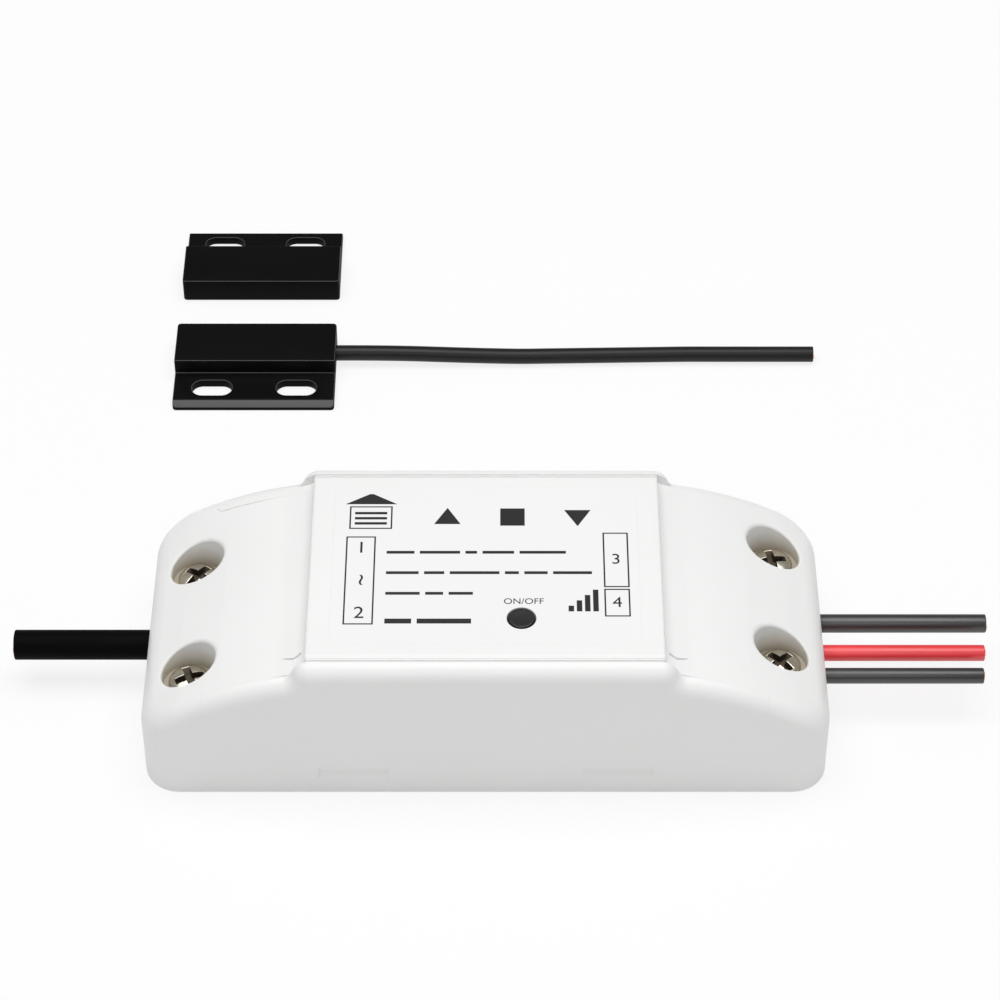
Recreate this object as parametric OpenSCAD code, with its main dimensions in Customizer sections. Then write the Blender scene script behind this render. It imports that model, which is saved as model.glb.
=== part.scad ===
// Garage door controller: a mains relay box with a reed switch and magnet for the door.
// The case stands on its base at the origin, long side along X, mains end at -X.

/* [Case] */
// Length of the case
case_l = 88.6; // [84:0.1:100]
// Depth of the case
case_w = 38; // [37:0.5:44]
// Height of the case to the top of the lid
case_h = 23; // [22.5:0.5:28]
// Thickness of the long side walls
wall = 2; // [1.6:0.1:2.4]
// Thickness of the end walls
end_wall = 2; // [1.6:0.1:2.4]
// Thickness of the floor
floor_t = 2; // [1.6:0.1:2.4]
// Radius of the upright corners
corner_r = 4.6; // [3:0.1:6]
// Gap at every seam between case pieces
seam = 0.15; // [0.1:0.01:0.25]

/* [Lid] */
// Length of the raised lid
lid_l = 45.5; // [43:0.5:48]
// Thickness of the lid's plate
lid_t = 1.8; // [1.4:0.1:2]
// Height of the lid's top above the highest point of the end covers' curve
lid_step = 2.3; // [1.8:0.1:2.8]
// Height of the lid's top above the side rails
rail_drop = 0.3; // [0.1:0.1:0.6]
// Rounding of the lid's top edges
lid_edge_r = 0.8; // [0.4:0.1:1.2]
// Thickness of the lid's skirt
skirt_t = 1.2; // [0.9:0.1:1.4]
// Depth of the lid's skirt below its plate
skirt_h = 4.2; // [3.5:0.1:5]
// Reach of the ledge that carries the skirt
ledge_w = 1.4; // [1:0.1:1.6]
// Thickness of the ledge
ledge_t = 1.5; // [1:0.1:2]
// Distance of the snap arms from the middle
arm_x = 12; // [8:0.5:14]
// Width of a snap arm
arm_w = 5; // [4:0.5:6]
// Thickness of a snap arm
arm_t = 1.2; // [1:0.1:1.4]
// Reach of a snap arm's barb
barb = 0.8; // [0.5:0.1:1]

/* [Label] */
// Length of the label panel
label_l = 39.6; // [36:0.2:41]
// Depth of the label panel
label_w = 28.4; // [26:0.2:30]
// Thickness of the label panel
label_t = 0.15; // [0.1:0.05:0.2]
// Depth of the recess for the label
label_recess = 0.25; // [0.2:0.05:0.4]

/* [End covers] */
// Height of the cover's top surface at the end face
end_h = 11.8; // [11:0.1:12.4]
// How far the curve's highest point lies inside the lid's edge
arc_inset = 5; // [3.5:0.1:6]
// How far the rails' sweep starts inside the lid's edge
sweep_inset = 1.2; // [0.6:0.1:2]
// Length of the sweep from the rails down to the covers
sweep_l = 3.7; // [3:0.1:5]
// Thickness of the covers
cover_t = 1.8; // [1.4:0.1:2]
// Rounding of the long shoulders
shoulder_r = 2.2; // [2:0.1:2.4]
// Length of the narrow tongue between the side rails
tongue_l = 13.2; // [12:0.1:14]

/* [Screw wells] */
// Diameter of a screw well
well_d = 7.1; // [6.4:0.1:7.6]
// Distance of the wells from the end face
well_inset = 6.2; // [5.8:0.1:6.6]
// Distance between the two wells of a cover
well_pitch = 18.4; // [17.6:0.1:19]
// Sideways shift of the two wells
well_shift = 1.4; // [1:0.1:1.6]
// Height of the well's floor
well_z = 11.5; // [11:0.1:12]
// Thickness of the well's floor
well_floor_t = 1.9; // [1.4:0.1:2.2]
// Wall round the well
well_wall = 1.2; // [0.9:0.1:1.4]
// Diameter of the posts under the wells
post_d = 4.8; // [4.2:0.1:4.9]
// Head diameter of an end cover screw
screw_head_d = 5.5; // [5:0.1:5.8]
// Head height of an end cover screw
screw_head_h = 1.7; // [1.4:0.1:2]
// Shank diameter of an end cover screw
screw_d = 2.2; // [2:0.1:2.4]
// Shank length of an end cover screw
screw_l = 6.6; // [5.5:0.1:7]

/* [Button] */
// Diameter of the button
button_d = 3.4; // [3:0.1:4]
// Gap round the button
button_gap = 0.2; // [0.15:0.05:0.3]
// Place of the button along the lid
button_x = 4.6; // [3.5:0.1:5.5]
// Place of the button across the lid
button_y = -9.7; // [-10.5:0.1:-9]
// Height of the button above the lid's top
button_proud = 0.1; // [0:0.05:0.4]
// Travel of the button
button_travel = 0.5; // [0.3:0.05:0.7]
// Width of the switch body
switch_w = 6; // [5.8:0.1:6.4]
// Height of the switch body
switch_h = 3.5; // [3.2:0.1:4]
// Diameter of the switch plunger
plunger_d = 3.2; // [2.8:0.1:3.4]
// Running gap round the plunger
plunger_gap = 0.1; // [0.05:0.01:0.1]

/* [Board] */
// Height of the stand-offs under the board
standoff_h = 1; // [0.9:0.1:1.3]
// Diameter of the stand-offs
standoff_d = 4; // [3.6:0.1:4.4]
// Thickness of the board
board_t = 1.6; // [1.2:0.1:1.8]
// Gap between the board and the side walls
board_gap = 0.5; // [0.3:0.1:0.7]
// Distance of the board's holes from its edges
board_hole_inset = 3.2; // [3:0.1:3.4]
// Head diameter of a board screw
board_screw_head_d = 3.6; // [3.2:0.1:3.8]
// Shank diameter of a board screw
board_screw_d = 1.8; // [1.6:0.1:2]
// Diameter of the solder pins
pin_d = 0.9; // [0.7:0.05:1]

/* [Leads] */
// Height of the leads above the board
lead_h = 1.7; // [1.6:0.05:2]
// Gap between a lead and its hole
lead_gap = 0.05; // [0.03:0.01:0.1]
// Diameter of the mains lead
mains_d = 4; // [3.6:0.1:4.2]
// Place of the mains lead across the case
mains_y = 1.4; // [0.6:0.1:1.8]
// Length of mains lead outside the case
mains_out = 18.2; // [10:0.1:28]
// Diameter of a mains core
mains_core_d = 1.5; // [1.3:0.1:1.7]
// Distance between the mains terminals
mains_pitch = 5.08; // [5:0.02:5.3]
// Length of the sensor lead outside the case
sensor_out = 22.4; // [12:0.1:28]
// Length of the red output lead outside the case
red_out = 21.7; // [12:0.1:28]
// Length of the black output lead outside the case
black_out = 21.2; // [12:0.1:28]
// Diameter of the sensor lead
sensor_lead_d = 2.5; // [2.4:0.1:2.8]
// Place of the sensor lead across the case
sensor_lead_y = 5.3; // [5:0.1:5.6]
// Diameter of a sensor lead core
sensor_core_d = 0.9; // [0.7:0.05:1]
// Diameter of the red output lead
red_lead_d = 2.15; // [1.8:0.05:2.3]
// Diameter of the black output lead
black_lead_d = 2.1; // [1.8:0.05:2.2]
// Distance between the output terminals
output_pitch = 4.1; // [4:0.05:4.2]
// Middle of the output terminals across the case
output_y = -2.15; // [-2.2:0.05:-2]
// Diameter of the copper in a lead
copper_d = 1; // [0.8:0.05:1.2]
// Length of copper that stands out of a cut end
copper_out = 0.15; // [0.1:0.05:0.6]

/* [Terminals] */
// Depth of a terminal block
terminal_l = 8; // [7.5:0.1:8.4]
// Height of the terminal blocks
terminal_h = 9; // [8.6:0.1:9.6]
// Size of a wire chamber
chamber = 3; // [2.8:0.1:3.1]
// Head diameter of a terminal screw
terminal_screw_d = 3; // [2.6:0.1:3]
// Width of the sensor socket
socket_w = 5; // [4.6:0.1:5.2]
// Height of the sensor socket
socket_h = 4.4; // [4:0.1:5]

/* [Relay] */
// Length of the relay
relay_l = 17.8; // [17.6:0.1:18]
// Width of the relay
relay_w = 15.4; // [15:0.1:15.8]
// Height of the relay
relay_h = 13.8; // [13.6:0.1:14]
// Wall of the relay's case
relay_wall = 0.8; // [0.6:0.05:0.9]
// Thickness of the relay's base
relay_base_t = 1.6; // [1.4:0.1:1.8]
// Gap between the relay and the lid's skirt
relay_gap = 0.4; // [0.3:0.05:0.6]
// Gap between the relay and the lid's snap arms
relay_rear_gap = 0.6; // [0.4:0.05:0.8]
// Thickness of the relay's iron
iron_t = 1.2; // [1:0.1:1.3]
// Width of the relay's iron
iron_w = 8; // [7:0.1:9]
// Diameter of the coil
coil_d = 8.4; // [8:0.1:8.6]
// Length of the coil
coil_h = 5.4; // [5:0.1:5.6]
// Diameter of the iron core in the coil
core_d = 3.2; // [2.8:0.1:3.6]
// Gap between the armature and the pole
pole_gap = 0.4; // [0.38:0.01:0.5]
// Swing of the armature in degrees
armature_swing = 2.5; // [1.5:0.1:2.6]

/* [Sensor pair] */
// Length of each sensor half
sensor_l = 23.5; // [22:0.5:26]
// Depth of each sensor half
sensor_w = 15; // [14.5:0.1:16]
// Height of each sensor half
sensor_h = 3.8; // [3.6:0.1:5]
// Depth of the thick block
block_w = 8.3; // [8:0.1:8.6]
// Thickness of the flange
flange_t = 1.4; // [1.2:0.1:2]
// Bevel along the flange's outer edge
flange_bevel = 0.9; // [0.5:0.1:1]
// Length of a flange slot
slot_l = 5.9; // [5:0.1:6.4]
// Width of a flange slot
slot_w = 3.2; // [3:0.1:3.4]
// Distance between the two slots
slot_pitch = 12.3; // [11.5:0.1:13]
// Distance of the slots from the flange's outer edge
slot_edge = 3.5; // [3.2:0.1:3.6]
// Wall of the sensor housings
sensor_wall = 0.9; // [0.8:0.1:1]
// Diameter of the reed's glass
glass_d = 2; // [1.9:0.1:2.1]
// Length of the reed's glass
glass_l = 14; // [12:0.5:15]
// Length of the bar magnet
magnet_l = 18; // [14:0.5:18.4]
// Height of the bar magnet
magnet_h = 1.9; // [1.6:0.1:2.1]
// Place of the pair along X
sensor_x = -34; // [-36:0.5:-32]
// Rear edge of the reed half
reed_back_y = 69; // [67:0.5:71]
// Gap between the two halves
pair_gap = 9.5; // [8:0.5:12]
// Diameter of the sensor cable
sensor_cable_d = 2.3; // [2.1:0.1:2.3]

/* [Hidden] */
$fn = 96;

// Small sizes that several pieces share
cut = 1;
fit = 0.1;
snug = 0.05;
sunk = 0.3;

// Case
end_x = case_l / 2;
side_y = case_w / 2;
inner_x = end_x - end_wall;
inner_y = side_y - wall;
inner_corner_r = max(corner_r - wall, sunk);
cover_top = case_h - lid_step;
rail_top = case_h - rail_drop;
rail_r = min(shoulder_r, wall - snug);

// Shallow finger dents low on the long sides
dent_x = 17;
dent_z = 4;
dent_l = 9;
dent_r = 2.4;
dent_depth = 0.25;

// The covers' tops are arcs that come out from under the lid and fall to the end face
arc_x = lid_l / 2 - arc_inset;
arc_run = end_x - arc_x;
arc_fall = cover_top - end_h;
arc_r = (arc_run * arc_run + arc_fall * arc_fall) / (2 * arc_fall);
arc_z = cover_top - arc_r;
kink_x = lid_l / 2 + tongue_l;

// The rails beside the lid come down to those arcs in an S
sweep_x = lid_l / 2 - sweep_inset;
sweep_end = sweep_x + sweep_l;
sweep_fall = rail_top - arc_z - sqrt(arc_r * arc_r - (sweep_end - arc_x) * (sweep_end - arc_x));
sweep_steps = 10;
sweep_line = [for (i = [0 : sweep_steps]) let (t = i / sweep_steps)
  [sweep_x + sweep_l * t, rail_top - sweep_fall * ease(t)]];

// Lid
lid_w = case_w - 2 * wall - 2 * seam;
lid_under = case_h - lid_t;
skirt_z = lid_under - skirt_h;
ledge_end = 5;
ledge_l = lid_l - 2 * ledge_end;
ledge_y = inner_y - ledge_w;
label_r = 0.6;
label_z = case_h - label_recess;
label_fit = 0.1;
arm_y = ledge_y - seam;
arm_foot_h = 1.8;

// Screw wells and posts
well_x = end_x - well_inset;
well_ys = [-well_shift - well_pitch / 2, -well_shift + well_pitch / 2];
boss_z = well_z - well_floor_t;
screw_clear = 0.2;
pilot_clear = 0.05;
pilot_floor = 1;
recess_w = 0.9;
recess_l = 3.2;
recess_depth = 0.9;

// Board
board_z = floor_t + standoff_h;
board_top = board_z + board_t;
board_end_gap = 2.7;
board_l = 2 * (well_x - post_d / 2 - board_end_gap);
board_w = case_w - 2 * wall - 2 * board_gap;
board_hole_x = board_l / 2 - board_hole_inset;
board_hole_y = board_w / 2 - board_hole_inset;
board_screw_head_h = 1.2;
board_screw_l = board_t + standoff_h + floor_t / 2;
board_screw_spots = [[-board_hole_x, -board_hole_y], [board_hole_x, board_hole_y]];
pin_reach = 0.7;
lead_z = board_top + lead_h;

// Button and switch
button_top = case_h + button_proud;
button_flange = 1;
button_flange_t = 1.4;
button_flange_gap = 0.4;
button_stem = 3;
button_flange_top = lid_under - button_flange_gap;
button_foot = button_flange_top - button_flange_t - button_stem;
switch_floor = 0.6;
dome_t = 0.15;
dome_rest = 0.65;
dome_h = button_travel + dome_rest;
dome_r = (plunger_d * plunger_d / 4 + dome_h * dome_h) / (2 * dome_h);
plunger_foot = board_top + switch_floor + dome_h + snug;

// Terminals
terminal_inset = 0.7;
terminal_face = board_l / 2 - terminal_inset;
block_back = terminal_face - terminal_l;
block_rear_t = 1.5;
chamber_l = terminal_l - block_rear_t;
block_side = 1.1;
mains_ys = [mains_y - mains_pitch / 2, mains_y + mains_pitch / 2];
output_ys = [output_y - output_pitch / 2, output_y + output_pitch / 2];
terminal_spots = concat(
  [for (y = mains_ys) [-(terminal_face - terminal_l / 2), y]],
  [for (y = output_ys) [terminal_face - terminal_l / 2, y]]
);
terminal_screw_head_h = 1.8;
terminal_screw_tip_d = 1.8;
terminal_top_gap = 0.8;

// Leads
sheath_lap = 1.5;
sheath_in = inner_x - sheath_lap;
mains_end = end_x + mains_out;
sensor_end = end_x + sensor_out;
output_ends = [end_x + black_out, end_x + red_out];
mains_core_y = mains_d / 4 - snug;
sensor_core_y = sensor_lead_d / 4;
socket_l = 6;
socket_face = terminal_face;
bare_end = 1;
bare_l = chamber_l - bare_end;
core_lap = 0.5;
core_tip = 0.2;
strand_d = 0.5;
strand_sides = 8;
core_bends = 8;

// Relay, beside the lid's skirt and snap arms
relay_x = min(lid_l / 2 - skirt_t, block_back) - relay_gap - relay_l / 2;
relay_y = arm_y - arm_t - relay_rear_gap - relay_w / 2;
relay_left = relay_x - relay_l / 2;
relay_floor = board_top + relay_base_t;
yoke_x = relay_left + relay_wall + sunk;
coil_x = yoke_x + iron_t + sunk + coil_d / 2;
bobbin_t = 0.8;
bobbin_lip = 0.1;
bobbin_tube = 0.6;
yoke_floor_top = relay_floor + iron_t;
coil_z = yoke_floor_top + bobbin_t;
pole_z = coil_z + coil_h + bobbin_t;
pole_t = 0.8;
pole_lip = 1;
pole_d = core_d + 2 * pole_lip;
armature_z = pole_z + pole_t + pole_gap;
armature_t = 1;
hinge_x = yoke_x + iron_t / 2;
armature_end = coil_x + coil_d / 2;
contact_inset = 3.7;
contact_x = relay_left + relay_l - relay_wall - contact_inset;
contact_d = 2;
contact_post_gap = 0.6;
contact_t = 0.7;
contact_strip_t = 0.25;
contact_strip_w = 3;
contact_gap = (contact_x - hinge_x + contact_d / 2) * sin(armature_swing) + fit;
fixed_contact_top = armature_z + armature_t - contact_t - contact_gap;
relay_pin_inset = [2, 1.7];
relay_pin_x = relay_l / 2 - relay_pin_inset[0];
relay_pin_y = relay_w / 2 - relay_pin_inset[1];
relay_pins = [for (sx = [-1, 1], sy = [-1, 1]) [relay_x + sx * relay_pin_x, relay_y + sy * relay_pin_y]];

// Bulk capacitors, behind the input terminals
bulk_d = 8;
bulk_h = 11.5;
bulk_gap = 0.4;
bulk_x = -(block_back - bulk_gap - bulk_d / 2);
bulk_ys = [-4.3, 4.7];
bulk_spots = [for (y = bulk_ys) [bulk_x, y]];
bulk_pin = 1.8;
bead = 0.4;

// Transformer, between the capacitors and the relay
trans_base = [12.6, 11, 2];
trans_core = [12.2, 5.6, 11];
trans_x = (bulk_x + bulk_d / 2 + relay_left) / 2;
trans_y = 2.4;
trans_limb = 4;
trans_window = 2.6;
trans_bar = 2.2;
trans_pin_inset = [1.3, 1.5];
trans_pin_x = trans_base[0] / 2 - trans_pin_inset[0];
trans_pin_y = trans_base[1] / 2 - trans_pin_inset[1];
trans_pins = [for (sx = [-1, 1], sy = [-1, 0, 1]) [trans_x + sx * trans_pin_x, trans_y + sy * trans_pin_y]];

// Other parts on the board
edge_gap = 0.4;
resistor_d = 3.4;
resistor_l = 7;
resistor_wire = 0.7;
resistor_bend = 1;
resistor_inset = 5;
resistor_spot = [-(terminal_face - resistor_inset), -8.6];
varistor_d = 7.4;
varistor_t = 3.8;
varistor_rise = 0.8;
varistor_pin = 2.5;
varistor_inset = 4.6;
varistor_spot = [-(terminal_face - varistor_inset), 11.2];
leg = [0.45, 0.9, 0.25];
leg_reach = leg[1] + sunk;
bridge_size = [5, 3.6, 2.2];
bridge_step = 5.2;
bridge_spot = [-block_back + bridge_step, -11.4];
output_cap_d = 6.3;
output_cap_h = 8;
output_cap_gap = 1;
output_cap_spot = [bridge_spot[0] + (bridge_size[0] + output_cap_d) / 2 + output_cap_gap, -8.5];
chip_size = [5, 4, 1.5];
chip_gap = 1.2;
chip_spot = [button_x - (switch_w + chip_size[0]) / 2 - chip_gap, -6.8];
choke_d = 6.4;
choke_h = 8;
choke_lip = 1.2;
choke_neck = 0.6;
choke_step = 8.2;
choke_spot = [-block_back + choke_step, board_w / 2 - edge_gap - choke_d / 2];
opto_size = [4.6, 4.4, 3.4];
opto_step = 4.3;
opto_spot = [block_back + opto_step, -(board_w / 2 - edge_gap - leg_reach - opto_size[1] / 2)];
radio_size = [11.2, 10, 0.8];
radio_gap = 0.5;
radio_spot = [block_back - radio_gap - radio_size[0] / 2, -(board_w / 2 - edge_gap - radio_size[1] / 2)];
radio_left = radio_spot[0] - radio_size[0] / 2;
shield_size = [6.6, 8.4, 2.2];
antenna_strip = 0.5;
antenna_pitch = 1.1;
antenna_runs = 3;
antenna_edge = 1;
antenna_t = 0.1;
led_size = [2, 1.25, 0.6];
led_gap = 2.6;
led_spot = [button_x - (switch_w + led_size[0]) / 2 - led_gap, -12.8];
pin_spots = concat(
  relay_pins,
  trans_pins,
  terminal_spots,
  [for (spot = bulk_spots, s = [-1, 1]) [spot[0] + s * bulk_pin, spot[1]]],
  [for (s = [-1, 1]) [output_cap_spot[0] + s * bulk_pin, output_cap_spot[1]]]
);

// Sensor halves
magnet_front_y = reed_back_y + pair_gap;
sensor_corner_r = 0.5;
pocket_l = sensor_l - 2 * sensor_wall;
pocket_w = block_w - 2 * sensor_wall;
pocket_h = sensor_h - sensor_wall;
potting_z = 0.2;
potting_l = pocket_l - 2 * fit;
potting_w = pocket_w - 2 * fit;
reed_y = reed_back_y - block_w / 2;
reed_z = (pocket_h + potting_z) / 2;
glass_wall = 0.3;
glass_seal = 1.5;
blade = [10.2, 1, 0.2];
blade_lap = 1.2;
magnet_y = magnet_front_y + block_w / 2;
cable_x = sensor_x + sensor_l / 2;

// Sensor cable, from the reed half to its cut end on the surface
cable_sides = 8;
cable_route = [
  [cable_x, 64.5, 1.9], [-19, 64.5, 1.9], [-15, 64.5, 1.86], [-11, 64.5, 1.76], [-7, 64.5, 1.6],
  [-3, 64.5, 1.44], [1, 64.5, 1.31], [5, 64.5, 1.23], [9, 64.6, 1.2], [14, 64.7, 1.2],
  [19, 64.8, 1.2], [24, 64.9, 1.2], [29, 65, 1.2], [34, 65, 1.2], [39, 65, 1.2],
  [44, 65, 1.2], [48, 65, 1.2]
];

// Tubes swept along points
function unit(v) = v / norm(v);
function heading(p, i) = unit(p[min(i + 1, len(p) - 1)] - p[max(i - 1, 0)]);
function ring(centre, along, r, n) =
  let (side = unit(cross(along, [0, 0, 1])), up = cross(side, along))
  [for (k = [0 : n - 1]) centre + r * (cos(360 * k / n) * side + sin(360 * k / n) * up)];
function ease(t) = t * t * (3 - 2 * t);

module tube(points, d, n) {
  rings = len(points);
  walls = [
    for (i = [0 : rings - 2], k = [0 : n - 1])
      let (a = i * n + k, b = i * n + (k + 1) % n)
      each [[a, b, b + n], [a, b + n, a + n]]
  ];
  near = [for (k = [1 : n - 2]) [0, k + 1, k]];
  last = (rings - 1) * n;
  far = [for (k = [1 : n - 2]) [last, last + k, last + k + 1]];
  polyhedron(
    points = [for (i = [0 : rings - 1]) each ring(points[i], heading(points, i), d / 2, n)],
    faces = concat(walls, near, far)
  );
}

// Flat outlines
module rounded_rect(l, w, r) {
  square([l - 2 * r, w], center = true);
  square([l, w - 2 * r], center = true);
  for (sx = [-1, 1], sy = [-1, 1])
    translate([sx * (l / 2 - r), sy * (w / 2 - r)])
      circle(r);
}

module arched_bar(w, h, r) {
  translate([-w / 2, 0])
    square([w, h - r]);
  translate([-w / 2 + r, 0])
    square([w - 2 * r, h]);
  for (s = [-1, 1])
    translate([s * (w / 2 - r), h - r])
      circle(r);
}

module slot_outline(l, w) {
  square([l - w, w], center = true);
  for (s = [-1, 1])
    translate([s * (l - w) / 2, 0])
      circle(d = w);
}

// Helpers for placing solids
module along_x(l) {
  rotate([90, 0, 90])
    linear_extrude(l, center = true)
      children();
}

module along_y(l) {
  rotate([90, 0, 0])
    linear_extrude(l, center = true)
      children();
}

module rod_x(x0, x1, y, z, d) {
  translate([min(x0, x1), y, z])
    rotate([0, 90, 0])
      cylinder(h = abs(x1 - x0), d = d);
}

module block(centre, size, z) {
  translate([centre[0] - size[0] / 2, centre[1] - size[1] / 2, z])
    cube(size);
}

module on_board(spot) {
  translate([spot[0], spot[1], board_top])
    children();
}

// Outer form of the closed case, without the lid
module end_wheel(r) {
  translate([arc_x, 0, arc_z])
    rotate([90, 0, 0])
      rotate_extrude()
        rotate(-90)
          arched_bar(case_w, r, shoulder_r);
}

module end_form() {
  intersection() {
    linear_extrude(case_h)
      rounded_rect(case_l, case_w, corner_r);
    for (turn = [0, 180])
      rotate(turn)
        end_wheel(arc_r);
  }
}

module rail_form() {
  far_sweep = [for (i = [sweep_steps : -1 : 0]) [-sweep_line[i][0], sweep_line[i][1]]];
  intersection() {
    along_x(2 * sweep_end)
      arched_bar(case_w, rail_top, rail_r);
    along_y(case_w)
      polygon(concat([[-sweep_end, 0]], far_sweep, sweep_line, [[sweep_end, 0]]));
  }
}

module arc_drum(r, w) {
  translate([arc_x, 0, arc_z])
    rotate([90, 0, 0])
      cylinder(h = w, r = r, center = true);
}

// Space beyond the tongue that an end cover takes up, with the end wall above the leads
module cover_space(gap) {
  difference() {
    translate([kink_x + gap, -case_w, lead_z + gap])
      cube([case_l, 2 * case_w, case_h]);
    intersection() {
      arc_drum(arc_r - shoulder_r + gap, 3 * case_w);
      translate([0, -2 * case_w, 0])
        cube([inner_x + gap, 4 * case_w, 2 * case_h]);
    }
  }
}

module cavity() {
  translate([0, 0, floor_t])
    linear_extrude(case_h)
      rounded_rect(2 * inner_x, 2 * inner_y, inner_corner_r);
}

module lead_holes() {
  rod_x(-end_x - cut, -inner_x + cut, mains_y, lead_z, mains_d + 2 * lead_gap);
  rod_x(inner_x - cut, end_x + cut, sensor_lead_y, lead_z, sensor_lead_d + 2 * lead_gap);
  rod_x(inner_x - cut, end_x + cut, output_ys[1], lead_z, red_lead_d + 2 * lead_gap);
  rod_x(inner_x - cut, end_x + cut, output_ys[0], lead_z, black_lead_d + 2 * lead_gap);
}

module screw_posts() {
  for (turn = [0, 180], y = well_ys)
    rotate(turn)
      translate([-well_x, y, floor_t - sunk])
        difference() {
          cylinder(h = boss_z - floor_t + sunk, d = post_d);
          translate([0, 0, sunk + pilot_floor])
            cylinder(h = boss_z, d = screw_d + 2 * pilot_clear);
        }
}

module standoffs() {
  for (sx = [-1, 1], sy = [-1, 1])
    translate([sx * board_hole_x, sy * board_hole_y, floor_t - sunk])
      cylinder(h = standoff_h + sunk, d = standoff_d);
}

module lid_ledges() {
  for (s = [-1, 1])
    translate([-ledge_l / 2, s > 0 ? ledge_y : -inner_y - sunk, skirt_z - ledge_t])
      cube([ledge_l, ledge_w + sunk, ledge_t]);
}

// Shallow finger dents low on the long sides
module side_dents() {
  for (sx = [-1, 1], sy = [-1, 1])
    rod_x(sx * dent_x - dent_l / 2, sx * dent_x + dent_l / 2,
      sy * (side_y + dent_r - dent_depth), dent_z, 2 * dent_r);
}

module base_shell() {
  color("whitesmoke")
    difference() {
      union() {
        difference() {
          union() {
            end_form();
            rail_form();
          }
          cavity();
          for (turn = [0, 180])
            rotate(turn)
              cover_space(0);
        }
        lid_ledges();
        screw_posts();
        standoffs();
      }
      lead_holes();
      side_dents();
      for (spot = board_screw_spots)
        translate([spot[0], spot[1], board_top - board_screw_l - snug])
          cylinder(h = board_screw_l, d = board_screw_d + 2 * pilot_clear);
    }
}

// Lid
module snap_arm() {
  barb_z = skirt_z - ledge_t - seam;
  foot = skirt_z - ledge_t - arm_foot_h;
  along_x(arm_w)
    union() {
      translate([arm_y - arm_t, foot])
        square([arm_t, lid_under - foot + sunk]);
      polygon([[arm_y - sunk, foot], [arm_y, foot], [arm_y + barb, barb_z], [arm_y - sunk, barb_z]]);
    }
}

module top_cover() {
  color("white")
    union() {
      difference() {
        intersection() {
          along_x(lid_l)
            arched_bar(lid_w, case_h, lid_edge_r);
          along_y(lid_w)
            arched_bar(lid_l, case_h, lid_edge_r);
          translate([-lid_l, -lid_w, skirt_z])
            cube([2 * lid_l, 2 * lid_w, case_h]);
        }
        translate([0, 0, skirt_z - cut])
          linear_extrude(skirt_h + cut)
            square([lid_l - 2 * skirt_t, lid_w - 2 * skirt_t], center = true);
        translate([0, 0, label_z])
          linear_extrude(case_h)
            rounded_rect(label_l + 2 * label_fit, label_w + 2 * label_fit, label_r);
        translate([button_x, button_y, 0])
          cylinder(h = 2 * case_h, d = button_d + 2 * button_gap);
      }
      for (turn = [0, 180], x = [-arm_x, arm_x])
        rotate(turn)
          translate([x, 0, 0])
            snap_arm();
    }
}

module label_panel() {
  color("white")
    translate([0, 0, label_z])
      difference() {
        linear_extrude(label_t)
          rounded_rect(label_l, label_w, label_r);
        translate([button_x, button_y, -cut])
          cylinder(h = 2 * cut, d = button_d + 2 * button_gap);
      }
}

// End covers
module end_cover() {
  difference() {
    union() {
      difference() {
        intersection() {
          end_form();
          union() {
            cover_space(seam);
            translate([lid_l / 2 + seam, -lid_w / 2, lead_z])
              cube([tongue_l + cut, lid_w, case_h]);
          }
        }
        intersection() {
          arc_drum(arc_r - cover_t, case_w);
          linear_extrude(case_h)
            rounded_rect(2 * inner_x, 2 * inner_y, inner_corner_r);
        }
      }
      intersection() {
        end_form();
        for (y = well_ys)
          translate([well_x, -y, boss_z])
            cylinder(h = case_h, d = well_d + 2 * well_wall);
        linear_extrude(case_h)
          square([2 * end_x, lid_w], center = true);
      }
    }
    for (y = well_ys)
      translate([well_x, -y, 0]) {
        translate([0, 0, well_z])
          cylinder(h = case_h, d = well_d);
        cylinder(h = case_h, d = screw_d + 2 * screw_clear);
      }
  }
}

module input_end_cover() {
  color("whitesmoke")
    difference() {
      rotate(180)
        end_cover();
      lead_holes();
    }
}

module output_end_cover() {
  color("whitesmoke")
    difference() {
      end_cover();
      lead_holes();
    }
}

module cross_screw(head_d, head_h, shank_d, shank_l) {
  difference() {
    union() {
      intersection() {
        cylinder(h = head_h, d = head_d);
        translate([0, 0, head_h - head_d])
          sphere(r = head_d);
      }
      translate([0, 0, -shank_l])
        cylinder(h = shank_l, d = shank_d);
    }
    for (turn = [0, 90])
      rotate(turn)
        translate([-recess_l / 2, -recess_w / 2, head_h - recess_depth])
          cube([recess_l, recess_w, head_h]);
  }
}

module end_cover_screws() {
  color("silver")
    for (turn = [0, 180], y = well_ys)
      rotate(turn)
        translate([-well_x, y, well_z])
          cross_screw(screw_head_d, screw_head_h, screw_d, screw_l);
}

// Button and its switch
module button_cap() {
  color("black")
    translate([button_x, button_y, 0]) {
      translate([0, 0, button_foot])
        cylinder(h = button_top - button_foot, d = button_d);
      translate([0, 0, button_flange_top - button_flange_t])
        cylinder(h = button_flange_t, d = button_d + 2 * button_flange);
    }
}

module switch_body() {
  color("dimgray")
    difference() {
      block([button_x, button_y], [switch_w, switch_w, switch_h], board_top);
      translate([button_x, button_y, board_top + switch_floor])
        cylinder(h = switch_h, d = plunger_d + 2 * plunger_gap);
    }
}

module switch_plunger() {
  color("darkgray")
    translate([button_x, button_y, plunger_foot])
      cylinder(h = button_foot - plunger_foot, d = plunger_d);
}

module switch_dome() {
  color("silver")
    translate([button_x, button_y, board_top + switch_floor])
      intersection() {
        cylinder(h = dome_h, d = plunger_d);
        translate([0, 0, dome_h - dome_r])
          difference() {
            sphere(r = dome_r);
            sphere(r = dome_r - dome_t);
          }
      }
}

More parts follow.
